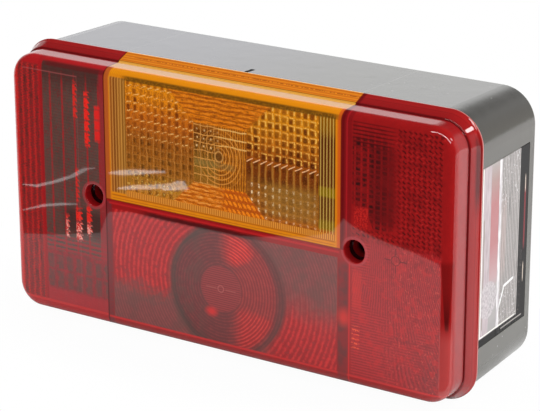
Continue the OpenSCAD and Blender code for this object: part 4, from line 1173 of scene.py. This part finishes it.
def ribbon(line, width, z):
    # flat strip along a line of points, tapered at both ends
    line = np.array(line, float)
    way = np.gradient(line, axis=0)
    way /= np.linalg.norm(way, axis=1, keepdims=True)
    side = np.stack([-way[:, 1], way[:, 0]], 1)
    half = width / 2 * np.minimum(1.0, 0.25 + np.minimum(np.arange(len(line)), np.arange(len(line))[::-1]))
    left, right = line + side * half[:, None], line - side * half[:, None]
    points = [(*q, z) for q in np.concatenate([left, right]).tolist()]
    n = len(line)
    return points, [(i + n, i + 1 + n, i + 1, i) for i in range(n - 1)]


def buildFloor(s):
    # a flat sheet of paper with pale strips on it, and two far strips of light that only gloss sees
    points = [(x, y, s["floorZ"]) for x, y in s["floorEdge"]]
    floor = meshObject("floor", points, [tuple(range(len(points)))], floorPaint(s))
    for number, (line, width, strength) in enumerate(s["streaks"]):
        points, faces = ribbon(line, width, s["floorZ"])
        meshObject("paperEdge_%d" % number, points, faces, lightPaint("paperEdge_%d" % number, strength))
    for number, (spot, directions, width, strength) in enumerate(s["softboxes"]):
        # strip of light far off, along the directions in which the lens corner mirrors it
        a, e = np.radians(directions).T
        ways = np.stack([np.cos(e) * np.cos(a), np.cos(e) * np.sin(a), np.sin(e)], 1)
        line = np.array(spot) + ways * s["boxDistance"]
        along = np.gradient(line, axis=0)
        side = np.cross(along, ways)
        side *= width / 2 / np.linalg.norm(side, axis=1, keepdims=True)
        n = len(line)
        points = np.concatenate([line + side, line - side])
        box = meshObject("softbox_%d" % number, points, [(i, i + 1, i + 1 + n, i + n) for i in range(n - 1)],
                         lightPaint("softbox_%d" % number, strength))
        box.visible_camera = box.visible_diffuse = box.visible_shadow = False


def buildWorld(s):
    # white to the camera, plain light on the object; gloss sees a dark room with a pale wall low down behind it
    p = Paint("studio", bpy.data.worlds.new("studio"))
    scene.world = p.material
    _, back, up, *_ = p.split(p.node("ShaderNodeTexCoord", output="Generated"))
    wall = p.step(up, *s["wallRise"], 1.0, 0.0) * p.step(back, *s["wallBack"], 0.0, s["wallGlow"])
    ambient, dark, white = [p.node("ShaderNodeBackground", inputs=[(1, 1, 1, 1), strength])
                            for strength in (s["ambient"], 0.0, 1.0)]
    glossy = p.node("ShaderNodeMixShader", inputs=[wall, dark, white])
    isGlossy, isCamera = [p.node("ShaderNodeLightPath", output="Is %s Ray" % kind) for kind in ("Glossy", "Camera")]
    light = p.node("ShaderNodeMixShader", inputs=[isGlossy, ambient, glossy])
    p.plug(p.tree.nodes["World Output"].inputs[0], p.node("ShaderNodeMixShader", inputs=[isCamera, light, white]))


def areaLamp(name, spot, aim, size, power, glossy=True):
    # a rectangular lamp that faces the aim and that the camera doesn't see
    data = bpy.data.lights.new(name, "AREA")
    data.shape = "RECTANGLE"
    data.size, data.size_y = size
    data.energy = power
    lamp = bpy.data.objects.new(name, data)
    lamp.location = spot
    lamp.rotation_euler = (Vector(aim) - Vector(spot)).to_track_quat("-Z", "Y").to_euler()
    lamp.visible_camera = False
    lamp.visible_glossy = glossy
    scene.collection.objects.link(lamp)


buildFloor(stage)
buildWorld(stage)
areaLamp("backSoft", (-0.6, 1.5, 0.42), (0, 0, 0), (2.4, 0.7), 3.6)
areaLamp("rightSoft", (1.2, 0.6, 0.9), (0.1, 0, 0), (0.9, 0.9), 15.0, glossy=False)
print("stage set")
